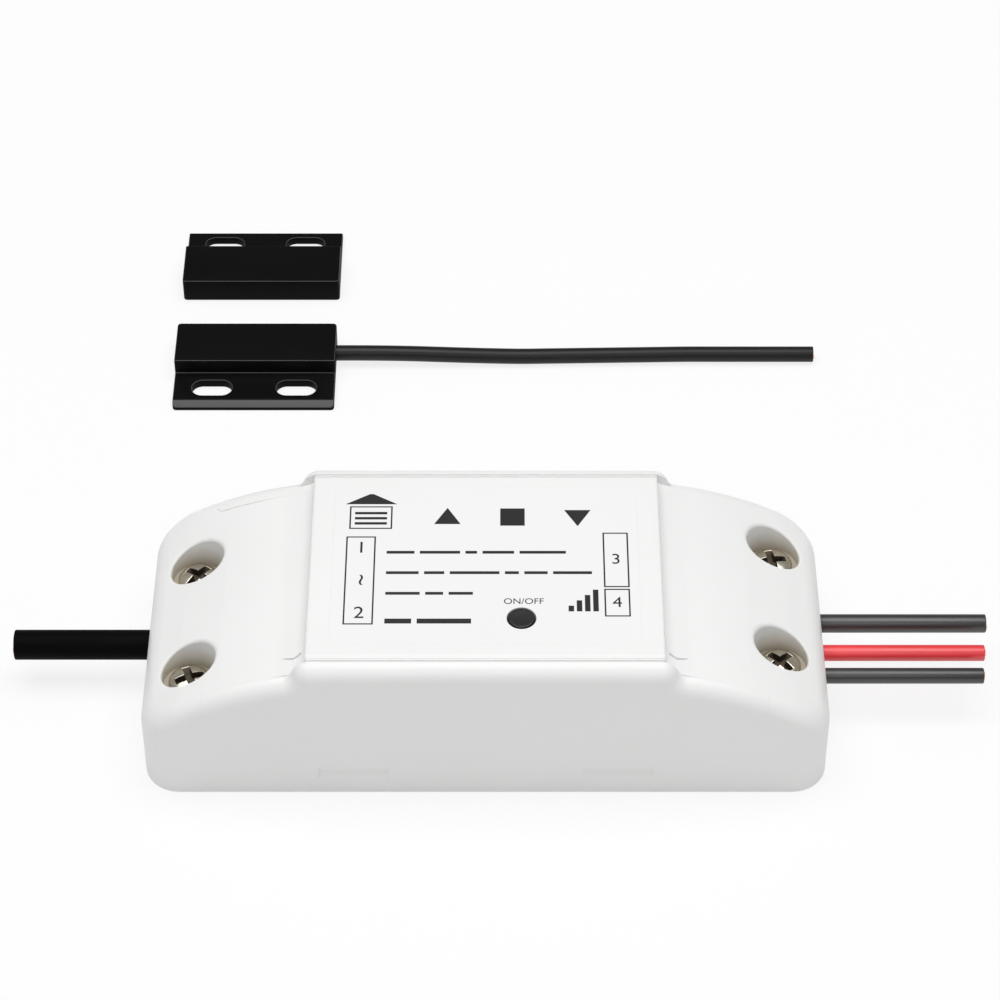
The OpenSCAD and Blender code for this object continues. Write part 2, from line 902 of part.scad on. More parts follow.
// Board
module circuit_board() {
  color("darkgreen")
    difference() {
      block([0, 0], [board_l, board_w, board_t], board_z);
      for (spot = board_screw_spots)
        translate([spot[0], spot[1], 0])
          cylinder(h = case_h, d = board_screw_d + 2 * screw_clear);
      for (spot = pin_spots)
        translate([spot[0], spot[1], 0])
          cylinder(h = case_h, d = pin_d + 2 * fit);
    }
}

module board_screws() {
  color("silver")
    for (spot = board_screw_spots)
      on_board(spot) {
        cylinder(h = board_screw_head_h, d = board_screw_head_d);
        translate([0, 0, -board_screw_l])
          cylinder(h = board_screw_l, d = board_screw_d);
      }
}

module solder_pins() {
  color("silver")
    for (spot = pin_spots)
      translate([spot[0], spot[1], board_z - pin_reach])
        cylinder(h = board_t + pin_reach, d = pin_d);
}

// Terminals
module terminal_block(ys, face, side) {
  width = ys[1] - ys[0] + chamber + 2 * block_side;
  middle = side * (face - terminal_l / 2);
  difference() {
    block([middle, (ys[0] + ys[1]) / 2], [terminal_l, width, terminal_h], board_top);
    for (y = ys) {
      block([side * (face - chamber_l / 2 + cut / 2), y], [chamber_l + cut, chamber, chamber],
        lead_z - chamber / 2);
      translate([middle, y, lead_z])
        cylinder(h = terminal_h, d = terminal_screw_d + 2 * fit);
    }
  }
}

module input_terminal_block() {
  color("seagreen")
    terminal_block(mains_ys, terminal_face, -1);
}

module output_terminal_block() {
  color("seagreen")
    terminal_block(output_ys, terminal_face, 1);
}

module terminal_screws() {
  head_z = board_top + terminal_h - terminal_top_gap - terminal_screw_head_h;
  tip_z = lead_z + copper_d / 2 + snug;
  color("silver")
    for (spot = terminal_spots)
      translate([spot[0], spot[1], 0])
        difference() {
          union() {
            translate([0, 0, head_z])
              cylinder(h = terminal_screw_head_h, d = terminal_screw_d);
            translate([0, 0, tip_z])
              cylinder(h = head_z - tip_z, d = terminal_screw_tip_d);
          }
          block([0, 0], [terminal_screw_d + cut, recess_w / 2, terminal_screw_head_h],
            head_z + terminal_screw_head_h / 2);
        }
}

module sensor_socket() {
  color("ivory")
    difference() {
      block([socket_face - socket_l / 2, sensor_lead_y], [socket_l, socket_w, socket_h], board_top);
      for (s = [-1, 1])
        rod_x(socket_face - bare_l, socket_face + cut, sensor_lead_y + s * sensor_core_y, lead_z,
          sensor_core_d + 2 * fit);
    }
}

// Leads
module two_core_sheath(x0, x1, y, d, core_y, core_d) {
  difference() {
    rod_x(x0, x1, y, lead_z, d);
    for (s = [-1, 1])
      rod_x(x0 - cut, x1 + cut, y + s * core_y, lead_z, core_d + 2 * snug);
  }
}

module mains_sheath() {
  color("black")
    two_core_sheath(-mains_end, -sheath_in, mains_y, mains_d, mains_core_y, mains_core_d);
}

module mains_core(s) {
  run = sheath_in - terminal_face - 2 * core_lap;
  start = mains_y + s * mains_core_y;
  spread = s * (mains_pitch / 2 - mains_core_y);
  bend = [for (i = [0 : core_bends]) let (t = i / core_bends)
    [-sheath_in + core_lap + run * t, start + spread * ease(t), lead_z]];
  tube(concat([[-mains_end, start, lead_z], [-sheath_in, start, lead_z]], bend,
    [[-terminal_face + core_tip, start + spread, lead_z]]), mains_core_d, strand_sides);
}

module mains_live_core() {
  color("saddlebrown")
    mains_core(-1);
}

module mains_neutral_core() {
  color("royalblue")
    mains_core(1);
}

module sensor_lead_sheath() {
  color("black")
    two_core_sheath(sheath_in, sensor_end, sensor_lead_y, sensor_lead_d, sensor_core_y, sensor_core_d);
}

module sensor_lead_cores() {
  color("white")
    for (s = [-1, 1])
      rod_x(socket_face - bare_l, sensor_end, sensor_lead_y + s * sensor_core_y, lead_z, sensor_core_d);
}

module output_lead_red() {
  color("crimson")
    rod_x(terminal_face - sunk, output_ends[1], output_ys[1], lead_z, red_lead_d);
}

module output_lead_black() {
  color("black")
    rod_x(terminal_face - sunk, output_ends[0], output_ys[0], lead_z, black_lead_d);
}

module lead_conductors() {
  color("peru") {
    for (y = mains_ys)
      rod_x(-terminal_face + core_tip, -terminal_face + bare_l, y, lead_z, copper_d);
    for (s = [-1, 1])
      rod_x(-mains_end - copper_out, -mains_end, mains_y + s * mains_core_y, lead_z, copper_d);
    for (i = [0, 1]) {
      rod_x(terminal_face - bare_l, terminal_face - sunk, output_ys[i], lead_z, copper_d);
      rod_x(output_ends[i], output_ends[i] + copper_out, output_ys[i], lead_z, copper_d);
    }
    for (s = [-1, 1])
      rod_x(sensor_end, sensor_end + copper_out, sensor_lead_y + s * sensor_core_y, lead_z, strand_d);
  }
}

// Relay
module relay_base() {
  color("midnightblue")
    block([relay_x, relay_y], [relay_l - 2 * relay_wall - 2 * snug, relay_w - 2 * relay_wall - 2 * snug,
      relay_base_t], board_top);
}

module relay_case() {
  color("royalblue")
    difference() {
      block([relay_x, relay_y], [relay_l, relay_w, relay_h], board_top);
      block([relay_x, relay_y], [relay_l - 2 * relay_wall, relay_w - 2 * relay_wall, relay_h],
        board_top - relay_wall);
    }
}

module relay_yoke() {
  color("slategray") {
    translate([yoke_x, relay_y - iron_w / 2, relay_floor])
      cube([coil_x + coil_d / 2 - yoke_x, iron_w, iron_t]);
    translate([yoke_x, relay_y - iron_w / 2, relay_floor])
      cube([iron_t, iron_w, armature_z - snug - relay_floor]);
  }
}

module relay_core() {
  color("lightslategray")
    translate([coil_x, relay_y, 0]) {
      translate([0, 0, yoke_floor_top])
        cylinder(h = pole_z - yoke_floor_top + sunk, d = core_d);
      translate([0, 0, pole_z])
        cylinder(h = pole_t, d = pole_d);
    }
}

module relay_bobbin() {
  bore_d = core_d + 2 * fit;
  tube_d = bore_d + 2 * bobbin_tube;
  color("ivory")
    translate([coil_x, relay_y, 0])
      difference() {
        union() {
          for (z = [yoke_floor_top, pole_z - bobbin_t])
            translate([0, 0, z])
              cylinder(h = bobbin_t, d = coil_d + 2 * bobbin_lip);
          translate([0, 0, yoke_floor_top])
            cylinder(h = pole_z - yoke_floor_top, d = tube_d);
        }
        translate([0, 0, yoke_floor_top - cut])
          cylinder(h = pole_z, d = bore_d);
      }
}

module relay_coil() {
  color("orangered")
    translate([coil_x, relay_y, coil_z])
      difference() {
        cylinder(h = coil_h, d = coil_d);
        translate([0, 0, -cut])
          cylinder(h = coil_h + 2 * cut, d = core_d + 2 * fit + 2 * bobbin_tube + 2 * snug);
      }
}

module relay_armature() {
  color("slategray")
    translate([yoke_x, relay_y - iron_w / 2, armature_z])
      cube([armature_end - yoke_x, iron_w, armature_t]);
}

module relay_contact_arm() {
  color("peru") {
    translate([coil_x, relay_y - contact_strip_w / 2, armature_z + armature_t])
      cube([contact_x + contact_d - coil_x, contact_strip_w, contact_strip_t]);
    translate([contact_x, relay_y, armature_z + armature_t - contact_t])
      cylinder(h = contact_t + sunk / 2, d = contact_d);
  }
}

module relay_fixed_contact() {
  post_x = contact_x + contact_d / 2 + contact_post_gap;
  shelf_z = fixed_contact_top - contact_t - contact_strip_t;
  color("peru") {
    translate([contact_x - contact_d / 2, relay_y - contact_strip_w / 2, shelf_z])
      cube([post_x - contact_x + contact_d / 2, contact_strip_w, contact_strip_t]);
    translate([post_x - contact_strip_t, relay_y - contact_strip_w / 2, relay_floor])
      cube([contact_strip_t, contact_strip_w, shelf_z - relay_floor + contact_strip_t]);
    translate([contact_x, relay_y, shelf_z])
      cylinder(h = contact_t + contact_strip_t, d = contact_d);
  }
}

// Transformer
module transformer_bobbin() {
  color("dimgray")
    block([trans_x, trans_y], trans_base, board_top);
}

module transformer_core() {
  z = board_top + trans_base[2];
  color("darkslategray")
    difference() {
      block([trans_x, trans_y], trans_core, z);
      for (s = [-1, 1])
        block([trans_x + s * (trans_limb + trans_window) / 2, trans_y],
          [trans_window, trans_core[1] + cut, trans_core[2] - 2 * trans_bar], z + trans_bar);
    }
}

module transformer_winding() {
  z = board_top + trans_base[2] + trans_bar + snug;
  h = trans_core[2] - 2 * trans_bar - 2 * snug;
  color("gold")
    difference() {
      block([trans_x, trans_y], [trans_limb + 2 * trans_window - 2 * fit,
        trans_core[1] + 2 * trans_window - 2 * fit, h], z);
      block([trans_x, trans_y], [trans_limb + 2 * snug, trans_core[1] + 2 * snug, h + cut], z - cut / 2);
    }
}

// Other parts on the board
module capacitor(d, h) {
  rotate_extrude()
    polygon([
      [0, 0], [d / 2, 0], [d / 2, 3 * bead], [d / 2 - bead, 4 * bead], [d / 2, 5 * bead],
      [d / 2, h - bead], [d / 2 - bead, h], [0, h]
    ]);
}

module bulk_capacitors() {
  color("black")
    for (spot = bulk_spots)
      on_board(spot)
        capacitor(bulk_d, bulk_h);
}

module output_capacitor() {
  color("darkolivegreen")
    on_board(output_cap_spot)
      capacitor(output_cap_d, output_cap_h);
}

module inrush_resistor() {
  reach = resistor_l / 2 + resistor_bend;
  rise = resistor_d / 2 + sunk;
  color("olivedrab")
    on_board(resistor_spot) {
      rod_x(-resistor_l / 2, resistor_l / 2, 0, rise, resistor_d);
      rod_x(-reach, reach, 0, rise, resistor_wire);
      for (s = [-1, 1])
        translate([s * reach, 0, 0])
          cylinder(h = rise + resistor_wire / 2, d = resistor_wire);
    }
}

module varistor() {
  color("steelblue")
    on_board(varistor_spot) {
      rod_x(-varistor_t / 2, varistor_t / 2, 0, varistor_rise + varistor_d / 2, varistor_d);
      for (s = [-1, 1])
        translate([0, s * varistor_pin, 0])
          cylinder(h = varistor_rise + varistor_d / 2, d = resistor_wire);
    }
}

module legged_chip(size, count) {
  pitch = size[0] / count;
  translate([-size[0] / 2, -size[1] / 2, leg[2] / 2])
    cube([size[0], size[1], size[2] - leg[2] / 2]);
  for (i = [0 : count - 1], s = [-1, 1])
    translate([(i - (count - 1) / 2) * pitch, s * (size[1] + leg[1]) / 2, 0]) {
      translate([-leg[0] / 2, -leg[1] / 2 - sunk, 0])
        cube([leg[0], leg[1] + 2 * sunk, leg[2]]);
    }
}

module bridge_rectifier() {
  color("black")
    on_board(bridge_spot)
      legged_chip(bridge_size, 2);
}

module power_chip() {
  color("black")
    on_board(chip_spot)
      legged_chip(chip_size, 4);
}

module optocoupler() {
  color("white")
    on_board(opto_spot)
      legged_chip(opto_size, 2);
}

module filter_choke() {
  rim = choke_d / 2;
  neck = rim - choke_neck;
  color("darkslategray")
    on_board(choke_spot)
      rotate_extrude()
        polygon([
          [0, 0], [rim, 0], [rim, choke_lip], [neck, choke_lip],
          [neck, choke_h - choke_lip], [rim, choke_h - choke_lip], [rim, choke_h], [0, choke_h]
        ]);
}

module radio_board() {
  color("navy")
    block(radio_spot, radio_size, board_top);
}

module radio_shield() {
  color("silver")
    block([radio_left + fit + shield_size[0] / 2, radio_spot[1]], shield_size, board_top + radio_size[2]);
}

module radio_antenna() {
  start = radio_left + shield_size[0] + 3 * antenna_strip;
  reach = radio_size[1] - 2 * antenna_edge;
  color("peru")
    translate([0, radio_spot[1], board_top + radio_size[2]])
      for (i = [0 : antenna_runs - 1]) {
        translate([start + i * antenna_pitch, -reach / 2, 0])
          cube([antenna_strip, reach, antenna_t]);
        if (i < antenna_runs - 1)
          translate([start + i * antenna_pitch, (i % 2 == 0 ? 1 : -1) * (reach - antenna_strip) / 2
              - antenna_strip / 2, 0])
            cube([antenna_pitch + antenna_strip, antenna_strip, antenna_t]);
      }
}

module status_led() {
  color("aquamarine")
    on_board(led_spot) {
      block([0, 0], led_size, 0);
      translate([0, 0, led_size[2] - sunk])
        cylinder(h = 2 * sunk, d = led_size[1] - fit);
    }
}

// Sensor halves, lying with their screw faces on the surface
module sensor_half() {
  difference() {
    intersection() {
      along_x(sensor_l)
        polygon([
          [0, 0], [0, sensor_h], [block_w, sensor_h], [block_w, flange_t],
          [sensor_w - flange_bevel, flange_t], [sensor_w, flange_t - flange_bevel], [sensor_w, 0]
        ]);
      translate([0, sensor_w / 2, 0])
        linear_extrude(sensor_h)
          rounded_rect(sensor_l, sensor_w, sensor_corner_r);
    }
    for (s = [-1, 1])
      translate([s * slot_pitch / 2, sensor_w - slot_edge, -cut])
        linear_extrude(flange_t + 2 * cut)
          slot_outline(slot_l, slot_w);
    block([0, block_w / 2], [pocket_l, pocket_w, pocket_h + cut], -cut);
  }
}

module reed_housing() {
  color("black")
    translate([sensor_x, reed_back_y, 0])
      mirror([0, 1, 0])
        sensor_half();
}

module magnet_housing() {
  color("black")
    translate([sensor_x, magnet_front_y, 0])
      sensor_half();
}

module blade_strip(s, gap) {
  size = [blade[0] + 2 * gap, blade[1] + 2 * gap, blade[2] + 2 * gap];
  block([sensor_x + s * (blade[0] / 2 - blade_lap / 2), reed_y], size,
    reed_z + s * (blade[2] / 2 + snug) - size[2] / 2);
}

module reed_blades() {
  color("silver")
    for (s = [-1, 1])
      blade_strip(s, 0);
}

module reed_glass() {
  color("palegreen")
    difference() {
      rod_x(sensor_x - glass_l / 2, sensor_x + glass_l / 2, reed_y, reed_z, glass_d);
      rod_x(sensor_x - glass_l / 2 + glass_seal, sensor_x + glass_l / 2 - glass_seal, reed_y, reed_z,
        glass_d - 2 * glass_wall);
      for (s = [-1, 1])
        blade_strip(s, snug);
    }
}

module reed_potting() {
  color("black")
    difference() {
      block([sensor_x, reed_y], [potting_l, potting_w, pocket_h - potting_z - snug], potting_z);
      rod_x(sensor_x - glass_l / 2 - snug, sensor_x + glass_l / 2 + snug, reed_y, reed_z,
        glass_d + 2 * snug);
      for (s = [-1, 1])
        blade_strip(s, snug);
    }
}

module sensor_cable() {
  color("black")
    tube(cable_route, sensor_cable_d, cable_sides);
}

module sensor_cable_cores() {
  last = cable_route[len(cable_route) - 1];
  color("peru")
    for (s = [-1, 1])
      rod_x(last[0], last[0] + copper_out, last[1] + s * sensor_cable_d / 4, last[2], strand_d);
}

module bar_magnet() {
  color("gray")
    block([sensor_x, magnet_y], [magnet_l, potting_w, magnet_h], pocket_h - magnet_h - snug);
}

module magnet_potting() {
  color("black")
    block([sensor_x, magnet_y], [potting_l, potting_w, pocket_h - magnet_h - 2 * snug - potting_z],
      potting_z);
}

base_shell();
top_cover();
input_end_cover();
output_end_cover();
end_cover_screws();
label_panel();
button_cap();
switch_body();
switch_plunger();
switch_dome();
circuit_board();
board_screws();
solder_pins();
input_terminal_block();
output_terminal_block();
terminal_screws();
sensor_socket();
mains_sheath();
mains_live_core();
mains_neutral_core();
sensor_lead_sheath();
sensor_lead_cores();
output_lead_red();
output_lead_black();
lead_conductors();
relay_base();
relay_case();
relay_yoke();
relay_core();
relay_bobbin();
relay_coil();
relay_armature();
relay_contact_arm();
relay_fixed_contact();
transformer_core();
transformer_bobbin();
transformer_winding();
bulk_capacitors();
output_capacitor();
inrush_resistor();
varistor();
bridge_rectifier();
power_chip();
filter_choke();
optocoupler();
radio_board();
radio_shield();
radio_antenna();
status_led();
reed_housing();
reed_glass();
reed_blades();
reed_potting();
sensor_cable();
sensor_cable_cores();
magnet_housing();
bar_magnet();
magnet_potting();
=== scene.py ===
import contextlib
import math

import bmesh
import bpy
from mathutils import Matrix, Vector


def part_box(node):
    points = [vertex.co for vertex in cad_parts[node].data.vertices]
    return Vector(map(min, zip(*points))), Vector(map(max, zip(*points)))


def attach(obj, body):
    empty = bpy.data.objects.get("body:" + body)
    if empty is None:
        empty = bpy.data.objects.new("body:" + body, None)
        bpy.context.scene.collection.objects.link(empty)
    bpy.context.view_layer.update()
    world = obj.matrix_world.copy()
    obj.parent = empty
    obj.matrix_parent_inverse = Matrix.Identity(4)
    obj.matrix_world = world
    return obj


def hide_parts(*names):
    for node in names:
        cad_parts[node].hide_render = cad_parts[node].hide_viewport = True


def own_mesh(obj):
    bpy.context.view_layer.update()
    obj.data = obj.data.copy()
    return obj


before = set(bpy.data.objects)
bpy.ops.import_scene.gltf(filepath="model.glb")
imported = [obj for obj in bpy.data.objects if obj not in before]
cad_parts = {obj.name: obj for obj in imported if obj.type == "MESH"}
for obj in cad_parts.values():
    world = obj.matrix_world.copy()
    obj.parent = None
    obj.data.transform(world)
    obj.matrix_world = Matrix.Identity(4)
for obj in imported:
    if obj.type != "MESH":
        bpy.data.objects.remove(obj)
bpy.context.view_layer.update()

MM = 0.001


# Camera: a long lens in front of the case, looking down on its lid and front side.
# Its picture is square.
def show(name, data):
    """An object of a mesh, curve, lamp or camera, put into the scene."""
    obj = bpy.data.objects.new(name, data)
    bpy.context.scene.collection.objects.link(obj)
    return obj


view_down = math.radians(44.25)
camera_aim = Vector((1.87, 17.24, 17.70)) * MM
camera_distance = 446.1 * MM
camera_data = bpy.data.cameras.new("camera")
camera_data.lens = 120.03
camera_data.sensor_width = 36
camera_data.clip_start = 0.01
camera = show("camera", camera_data)
camera.location = camera_aim + camera_distance * Vector((0, -math.cos(view_down), math.sin(view_down)))
camera.rotation_euler = (math.pi / 2 - view_down, 0, 0)
bpy.context.scene.camera = camera
bpy.context.scene.view_settings.view_transform = "Standard"


# Table and light: a wide white table under a large softbox, a narrow strip lamp in front and an even sky.
# The table shows as white to the camera and in reflections, and still takes the shadow.
def new_material(name):
    """A node material with nothing in it but its output."""
    material = bpy.data.materials.new(name)
    material.use_nodes = True
    material.node_tree.nodes.clear()
    output = material.node_tree.nodes.new("ShaderNodeOutputMaterial")
    return material, material.node_tree, output


def feed(tree, socket, value):
    """Give a node's input another node's output, or a plain value."""
    if isinstance(value, bpy.types.NodeSocket):
        tree.links.new(value, socket)
    else:
        socket.default_value = value


def math_node(tree, operation, first, second):
    """A math node on two sockets or plain numbers, as its output socket."""
    node = tree.nodes.new("ShaderNodeMath")
    node.operation = operation
    feed(tree, node.inputs[0], first)
    feed(tree, node.inputs[1], second)
    return node.outputs[0]


table_half = 4
table_glow_share = 0.8
table_material, tree, output = new_material("table_white")
table_diffuse = tree.nodes.new("ShaderNodeBsdfDiffuse")
table_diffuse.inputs["Color"].default_value = (0.9, 0.9, 0.9, 1)
table_glow = tree.nodes.new("ShaderNodeEmission")
table_glow.inputs["Strength"].default_value = 1
rays = tree.nodes.new("ShaderNodeLightPath")
seen = math_node(tree, "MAXIMUM", rays.outputs["Is Camera Ray"], rays.outputs["Is Glossy Ray"])
seen = math_node(tree, "MAXIMUM", seen, rays.outputs["Is Transmission Ray"])
table_mix = tree.nodes.new("ShaderNodeMixShader")
tree.links.new(math_node(tree, "MULTIPLY", seen, table_glow_share), table_mix.inputs["Fac"])
tree.links.new(table_diffuse.outputs["BSDF"], table_mix.inputs[1])
tree.links.new(table_glow.outputs["Emission"], table_mix.inputs[2])
tree.links.new(table_mix.outputs["Shader"], output.inputs["Surface"])

table_mesh = bpy.data.meshes.new("table")
bm = bmesh.new()
bmesh.ops.create_grid(bm, x_segments=1, y_segments=1, size=table_half)
bm.to_mesh(table_mesh)
bm.free()
table_mesh.materials.append(table_material)
table = show("table", table_mesh)


def softbox(name, width, depth, energy, distance, tip):
    """A rectangular lamp over the origin, tipped about X towards the front, that looks at the origin."""
    lamp_data = bpy.data.lights.new(name, "AREA")
    lamp_data.shape = "RECTANGLE"
    lamp_data.size = width
    lamp_data.size_y = depth
    lamp_data.energy = energy
    lamp = show(name, lamp_data)
    lamp.location = (0, -distance * math.sin(tip), distance * math.cos(tip))
    lamp.rotation_euler = (tip, 0, 0)


softbox("overhead_softbox", width=0.9, depth=0.5, energy=4.78, distance=0.75, tip=math.radians(-4))
softbox("front_strip", width=0.6, depth=0.06, energy=0.83, distance=0.8, tip=math.radians(44))

world = bpy.data.worlds.new("studio")
world.use_nodes = True
world.node_tree.nodes["Background"].inputs["Color"].default_value = (1, 1, 1, 1)
world.node_tree.nodes["Background"].inputs["Strength"].default_value = 0.3
bpy.context.scene.world = world


# Sensor cable: two thin cores in a round black vinyl jacket, moulded into the reed half.
# It leaves the block level, comes down to the table and ends in a plain cut with two bare wires.
def lay_on_piece(tree, pattern):
    """Let a pattern read the piece's own coordinates."""
    place = tree.nodes.new("ShaderNodeTexCoord")
    tree.links.new(place.outputs["Object"], pattern.inputs["Vector"])


def make_grain_group():
    """Shared finish of moulded plastic: slow flow marks in the colour and a fine eroded skin."""
    group = bpy.data.node_groups.new("moulded_grain", "ShaderNodeTree")
    for name in ("Flow", "Skin"):
        group.interface.new_socket(name=name + " Scale", in_out="INPUT", socket_type="NodeSocketFloat")
        group.interface.new_socket(name=name, in_out="OUTPUT", socket_type="NodeSocketFloat")
    inside = group.nodes.new("NodeGroupInput")
    outside = group.nodes.new("NodeGroupOutput")
    for name in ("Flow", "Skin"):
        noise = group.nodes.new("ShaderNodeTexNoise")
        noise.inputs["Detail"].default_value = 3
        lay_on_piece(group, noise)
        group.links.new(inside.outputs[name + " Scale"], noise.inputs["Scale"])
        group.links.new(noise.outputs["Fac"], outside.inputs[name])
    return group


grain_group = make_grain_group()


def ramp(tree, value, start, end, low=0, high=1):
    """Stretch a value's run from start to end into one from low to high."""
    node = tree.nodes.new("ShaderNodeMapRange")
    for name, number in zip(("From Min", "From Max", "To Min", "To Max"), (start, end, low, high)):
        node.inputs[name].default_value = number
    tree.links.new(value, node.inputs["Value"])
    return node.outputs["Result"]


def mixed(tree, mask, first, second):
    """A colour between two by a mask."""
    node = tree.nodes.new("ShaderNodeMix")
    node.data_type = "RGBA"
    for name, value in (("Factor", mask), ("A", first), ("B", second)):
        feed(tree, node.inputs[name], value)
    return node.outputs["Result"]


def two_tone(tree, mask, colour, change):
    """A colour that goes a share darker and lighter with a mask."""
    darker = [c * (1 - change) for c in colour]
    lighter = [min(1, c * (1 + change)) for c in colour]
    return mixed(tree, mask, [*darker, 1], [*lighter, 1])


def bumped(tree, height, depth, strength):
    """A normal from a height, with the depth of the relief in metres."""
    node = tree.nodes.new("ShaderNodeBump")
    node.inputs["Strength"].default_value = strength
    node.inputs["Distance"].default_value = depth
    tree.links.new(height, node.inputs["Height"])
    return node.outputs["Normal"]


def shaded(name):
    """A node material with its shader on its output."""
    material, tree, output = new_material(name)
    shader = tree.nodes.new("ShaderNodeBsdfPrincipled")
    tree.links.new(shader.outputs["BSDF"], output.inputs["Surface"])
    return material, tree, shader


noise_run = (0.3, 0.7)
sheen_change = 0.12
skin_strength = 0.5


def grained(name, colour, roughness, change, skin, depth, flow):
    """The start of a grained material: its shader with colour, sheen and relief from the shared grain."""
    material, tree, shader = shaded(name)
    grain = tree.nodes.new("ShaderNodeGroup")
    grain.node_tree = grain_group
    grain.inputs["Flow Scale"].default_value = flow
    grain.inputs["Skin Scale"].default_value = skin
    mask = ramp(tree, grain.outputs["Flow"], *noise_run)
    tree.links.new(two_tone(tree, mask, colour, change), shader.inputs["Base Color"])
    dull = roughness * sheen_change
    sheen = ramp(tree, grain.outputs["Flow"], *noise_run, roughness - dull, roughness + dull)
    tree.links.new(sheen, shader.inputs["Roughness"])
    tree.links.new(bumped(tree, grain.outputs["Skin"], depth * MM, skin_strength), shader.inputs["Normal"])
    return material, shader


def moulded(name, colour, roughness, change=0.04, skin=2600, depth=0.02, specular=0.5, flow=70):
    """Moulded plastic: colour, sheen, depth of its eroded skin in millimetres and how much it mirrors."""
    material, shader = grained(name, colour, roughness, change, skin, depth, flow)
    shader.inputs["Specular IOR Level"].default_value = specular
    return material


cable_vinyl = moulded("cable_vinyl", (0.003, 0.003, 0.0032), 0.42, change=0.2, depth=0.006, specular=0.35)

cable_d = 2.3
cable_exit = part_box("reed_housing")[1].x / MM
cable_route = [
    (cable_exit, 64.5, 1.9), (-19, 64.5, 1.9), (-15, 64.5, 1.86), (-11, 64.5, 1.76), (-7, 64.5, 1.6),
    (-3, 64.5, 1.44), (1, 64.5, 1.31), (5, 64.5, 1.23), (9, 64.6, 1.2), (14, 64.7, 1.2),
    (19, 64.8, 1.2), (24, 64.9, 1.2), (29, 65, 1.2), (34, 65, 1.2), (39, 65, 1.2),
    (44, 65, 1.2), (48, 65, 1.2),
]
cable_curve = bpy.data.curves.new("sensor_lead", "CURVE")
cable_curve.dimensions = "3D"
cable_curve.bevel_depth = cable_d / 2 * MM
cable_curve.bevel_resolution = 8
cable_curve.resolution_u = 6
cable_curve.use_fill_caps = True
cable_line = cable_curve.splines.new("BEZIER")
cable_line.bezier_points.add(len(cable_route) - 1)
for knot, spot in zip(cable_line.bezier_points, cable_route):
    knot.co = Vector(spot) * MM
    knot.handle_left_type = "AUTO"
    knot.handle_right_type = "AUTO"
cable_curve.materials.append(cable_vinyl)
cable = show("sensor_lead", cable_curve)
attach(cable, "controller")
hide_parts("sensor_cable")


# Base: the lower half of the case, one white moulding with a floor, side rails and end walls.
# Its rails stand level beside the lid and sweep down in an S to the curved shoulders at both ends.
# Posts for the cover screws, stand-offs for the board and ledges for the lid are moulded in.
merge_gap = 0.0005
rounding_merge = 0.01
hair = 0.001
flat_angle = math.radians(0.5)
margin = 1


def box_mm(node):
    """Lowest and highest corner of a node in millimetres."""
    low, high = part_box(node)
    return Vector(low) / MM, Vector(high) / MM


def stand(name, bm):
    """Put a bmesh, drawn in millimetres, into the scene as a working object."""
    bmesh.ops.remove_doubles(bm, verts=bm.verts[:], dist=merge_gap)
    bmesh.ops.recalc_face_normals(bm, faces=bm.faces[:])
    mesh = bpy.data.meshes.new(name)
    bm.to_mesh(mesh)
    bm.free()
    return show(name, mesh)


@contextlib.contextmanager
def opened(obj):
    """A working object's mesh as a bmesh, which is put back after the work on it."""
    bm = bmesh.new()
    bm.from_mesh(obj.data)
    yield bm
    bm.to_mesh(obj.data)
    bm.free()


def settle(obj):
    """Turn an object's modifiers into its own mesh."""
    bpy.context.view_layer.update()
    graph = bpy.context.evaluated_depsgraph_get()
    mesh = bpy.data.meshes.new_from_object(obj.evaluated_get(graph))
    obj.modifiers.clear()
    obj.data = mesh
    return obj


def carve(obj, *cutters, operation="DIFFERENCE"):
    """Cut, join or intersect an object with others, which are used up."""
    for cutter in cutters:
        boolean = obj.modifiers.new("cut", "BOOLEAN")
        boolean.operation = operation
        boolean.solver = "EXACT"
        boolean.object = cutter
        settle(obj)
        bpy.data.objects.remove(cutter)
    return obj


def round_edges(bm, edges, r, segments):
    """Round some edges of a bmesh."""
    bmesh.ops.bevel(
        bm, geom=edges, offset=r, segments=segments, profile=0.5, affect="EDGES", material=-1,
        clamp_overlap=False,
    )


def round_where(obj, r, segments, picks):
    """Round the edges of a working object that a rule picks."""
    with opened(obj) as bm:
        bmesh.ops.remove_doubles(bm, verts=bm.verts[:], dist=rounding_merge)
        round_edges(bm, [e for e in bm.edges if len(e.link_faces) == 2 and picks(e)], r, segments)
    return obj


def soften(obj, width, segments=3, angle=35):
    """Round all sharp edges of a working object."""
    with opened(obj) as bm:
        bmesh.ops.dissolve_limit(bm, angle_limit=flat_angle, verts=bm.verts[:], edges=bm.edges[:])
        bmesh.ops.remove_doubles(bm, verts=bm.verts[:], dist=width / 6)
    bevel = obj.modifiers.new("edge", "BEVEL")
    bevel.limit_method = "ANGLE"
    bevel.angle_limit = math.radians(angle)
    bevel.width = width
    bevel.segments = segments
    bevel.use_clamp_overlap = False
    return settle(obj)


def hand_over(obj, material, body, slot, *nodes, smooth=35):
    """Clean a working object, bring it to metres, shade it and let it stand for its CAD nodes."""
    with opened(obj) as bm:
        bmesh.ops.remove_doubles(bm, verts=bm.verts[:], dist=merge_gap)
        bmesh.ops.dissolve_degenerate(bm, dist=merge_gap, edges=bm.edges[:])
    obj.data.transform(Matrix.Scale(MM, 4))
    obj.data.materials.clear()
    obj.data.materials.append(material)
    obj.data.shade_smooth()
    obj.data.set_sharp_from_angle(angle=math.radians(smooth))
    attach(obj, body)
    if nodes:
        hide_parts(*nodes)
    return obj


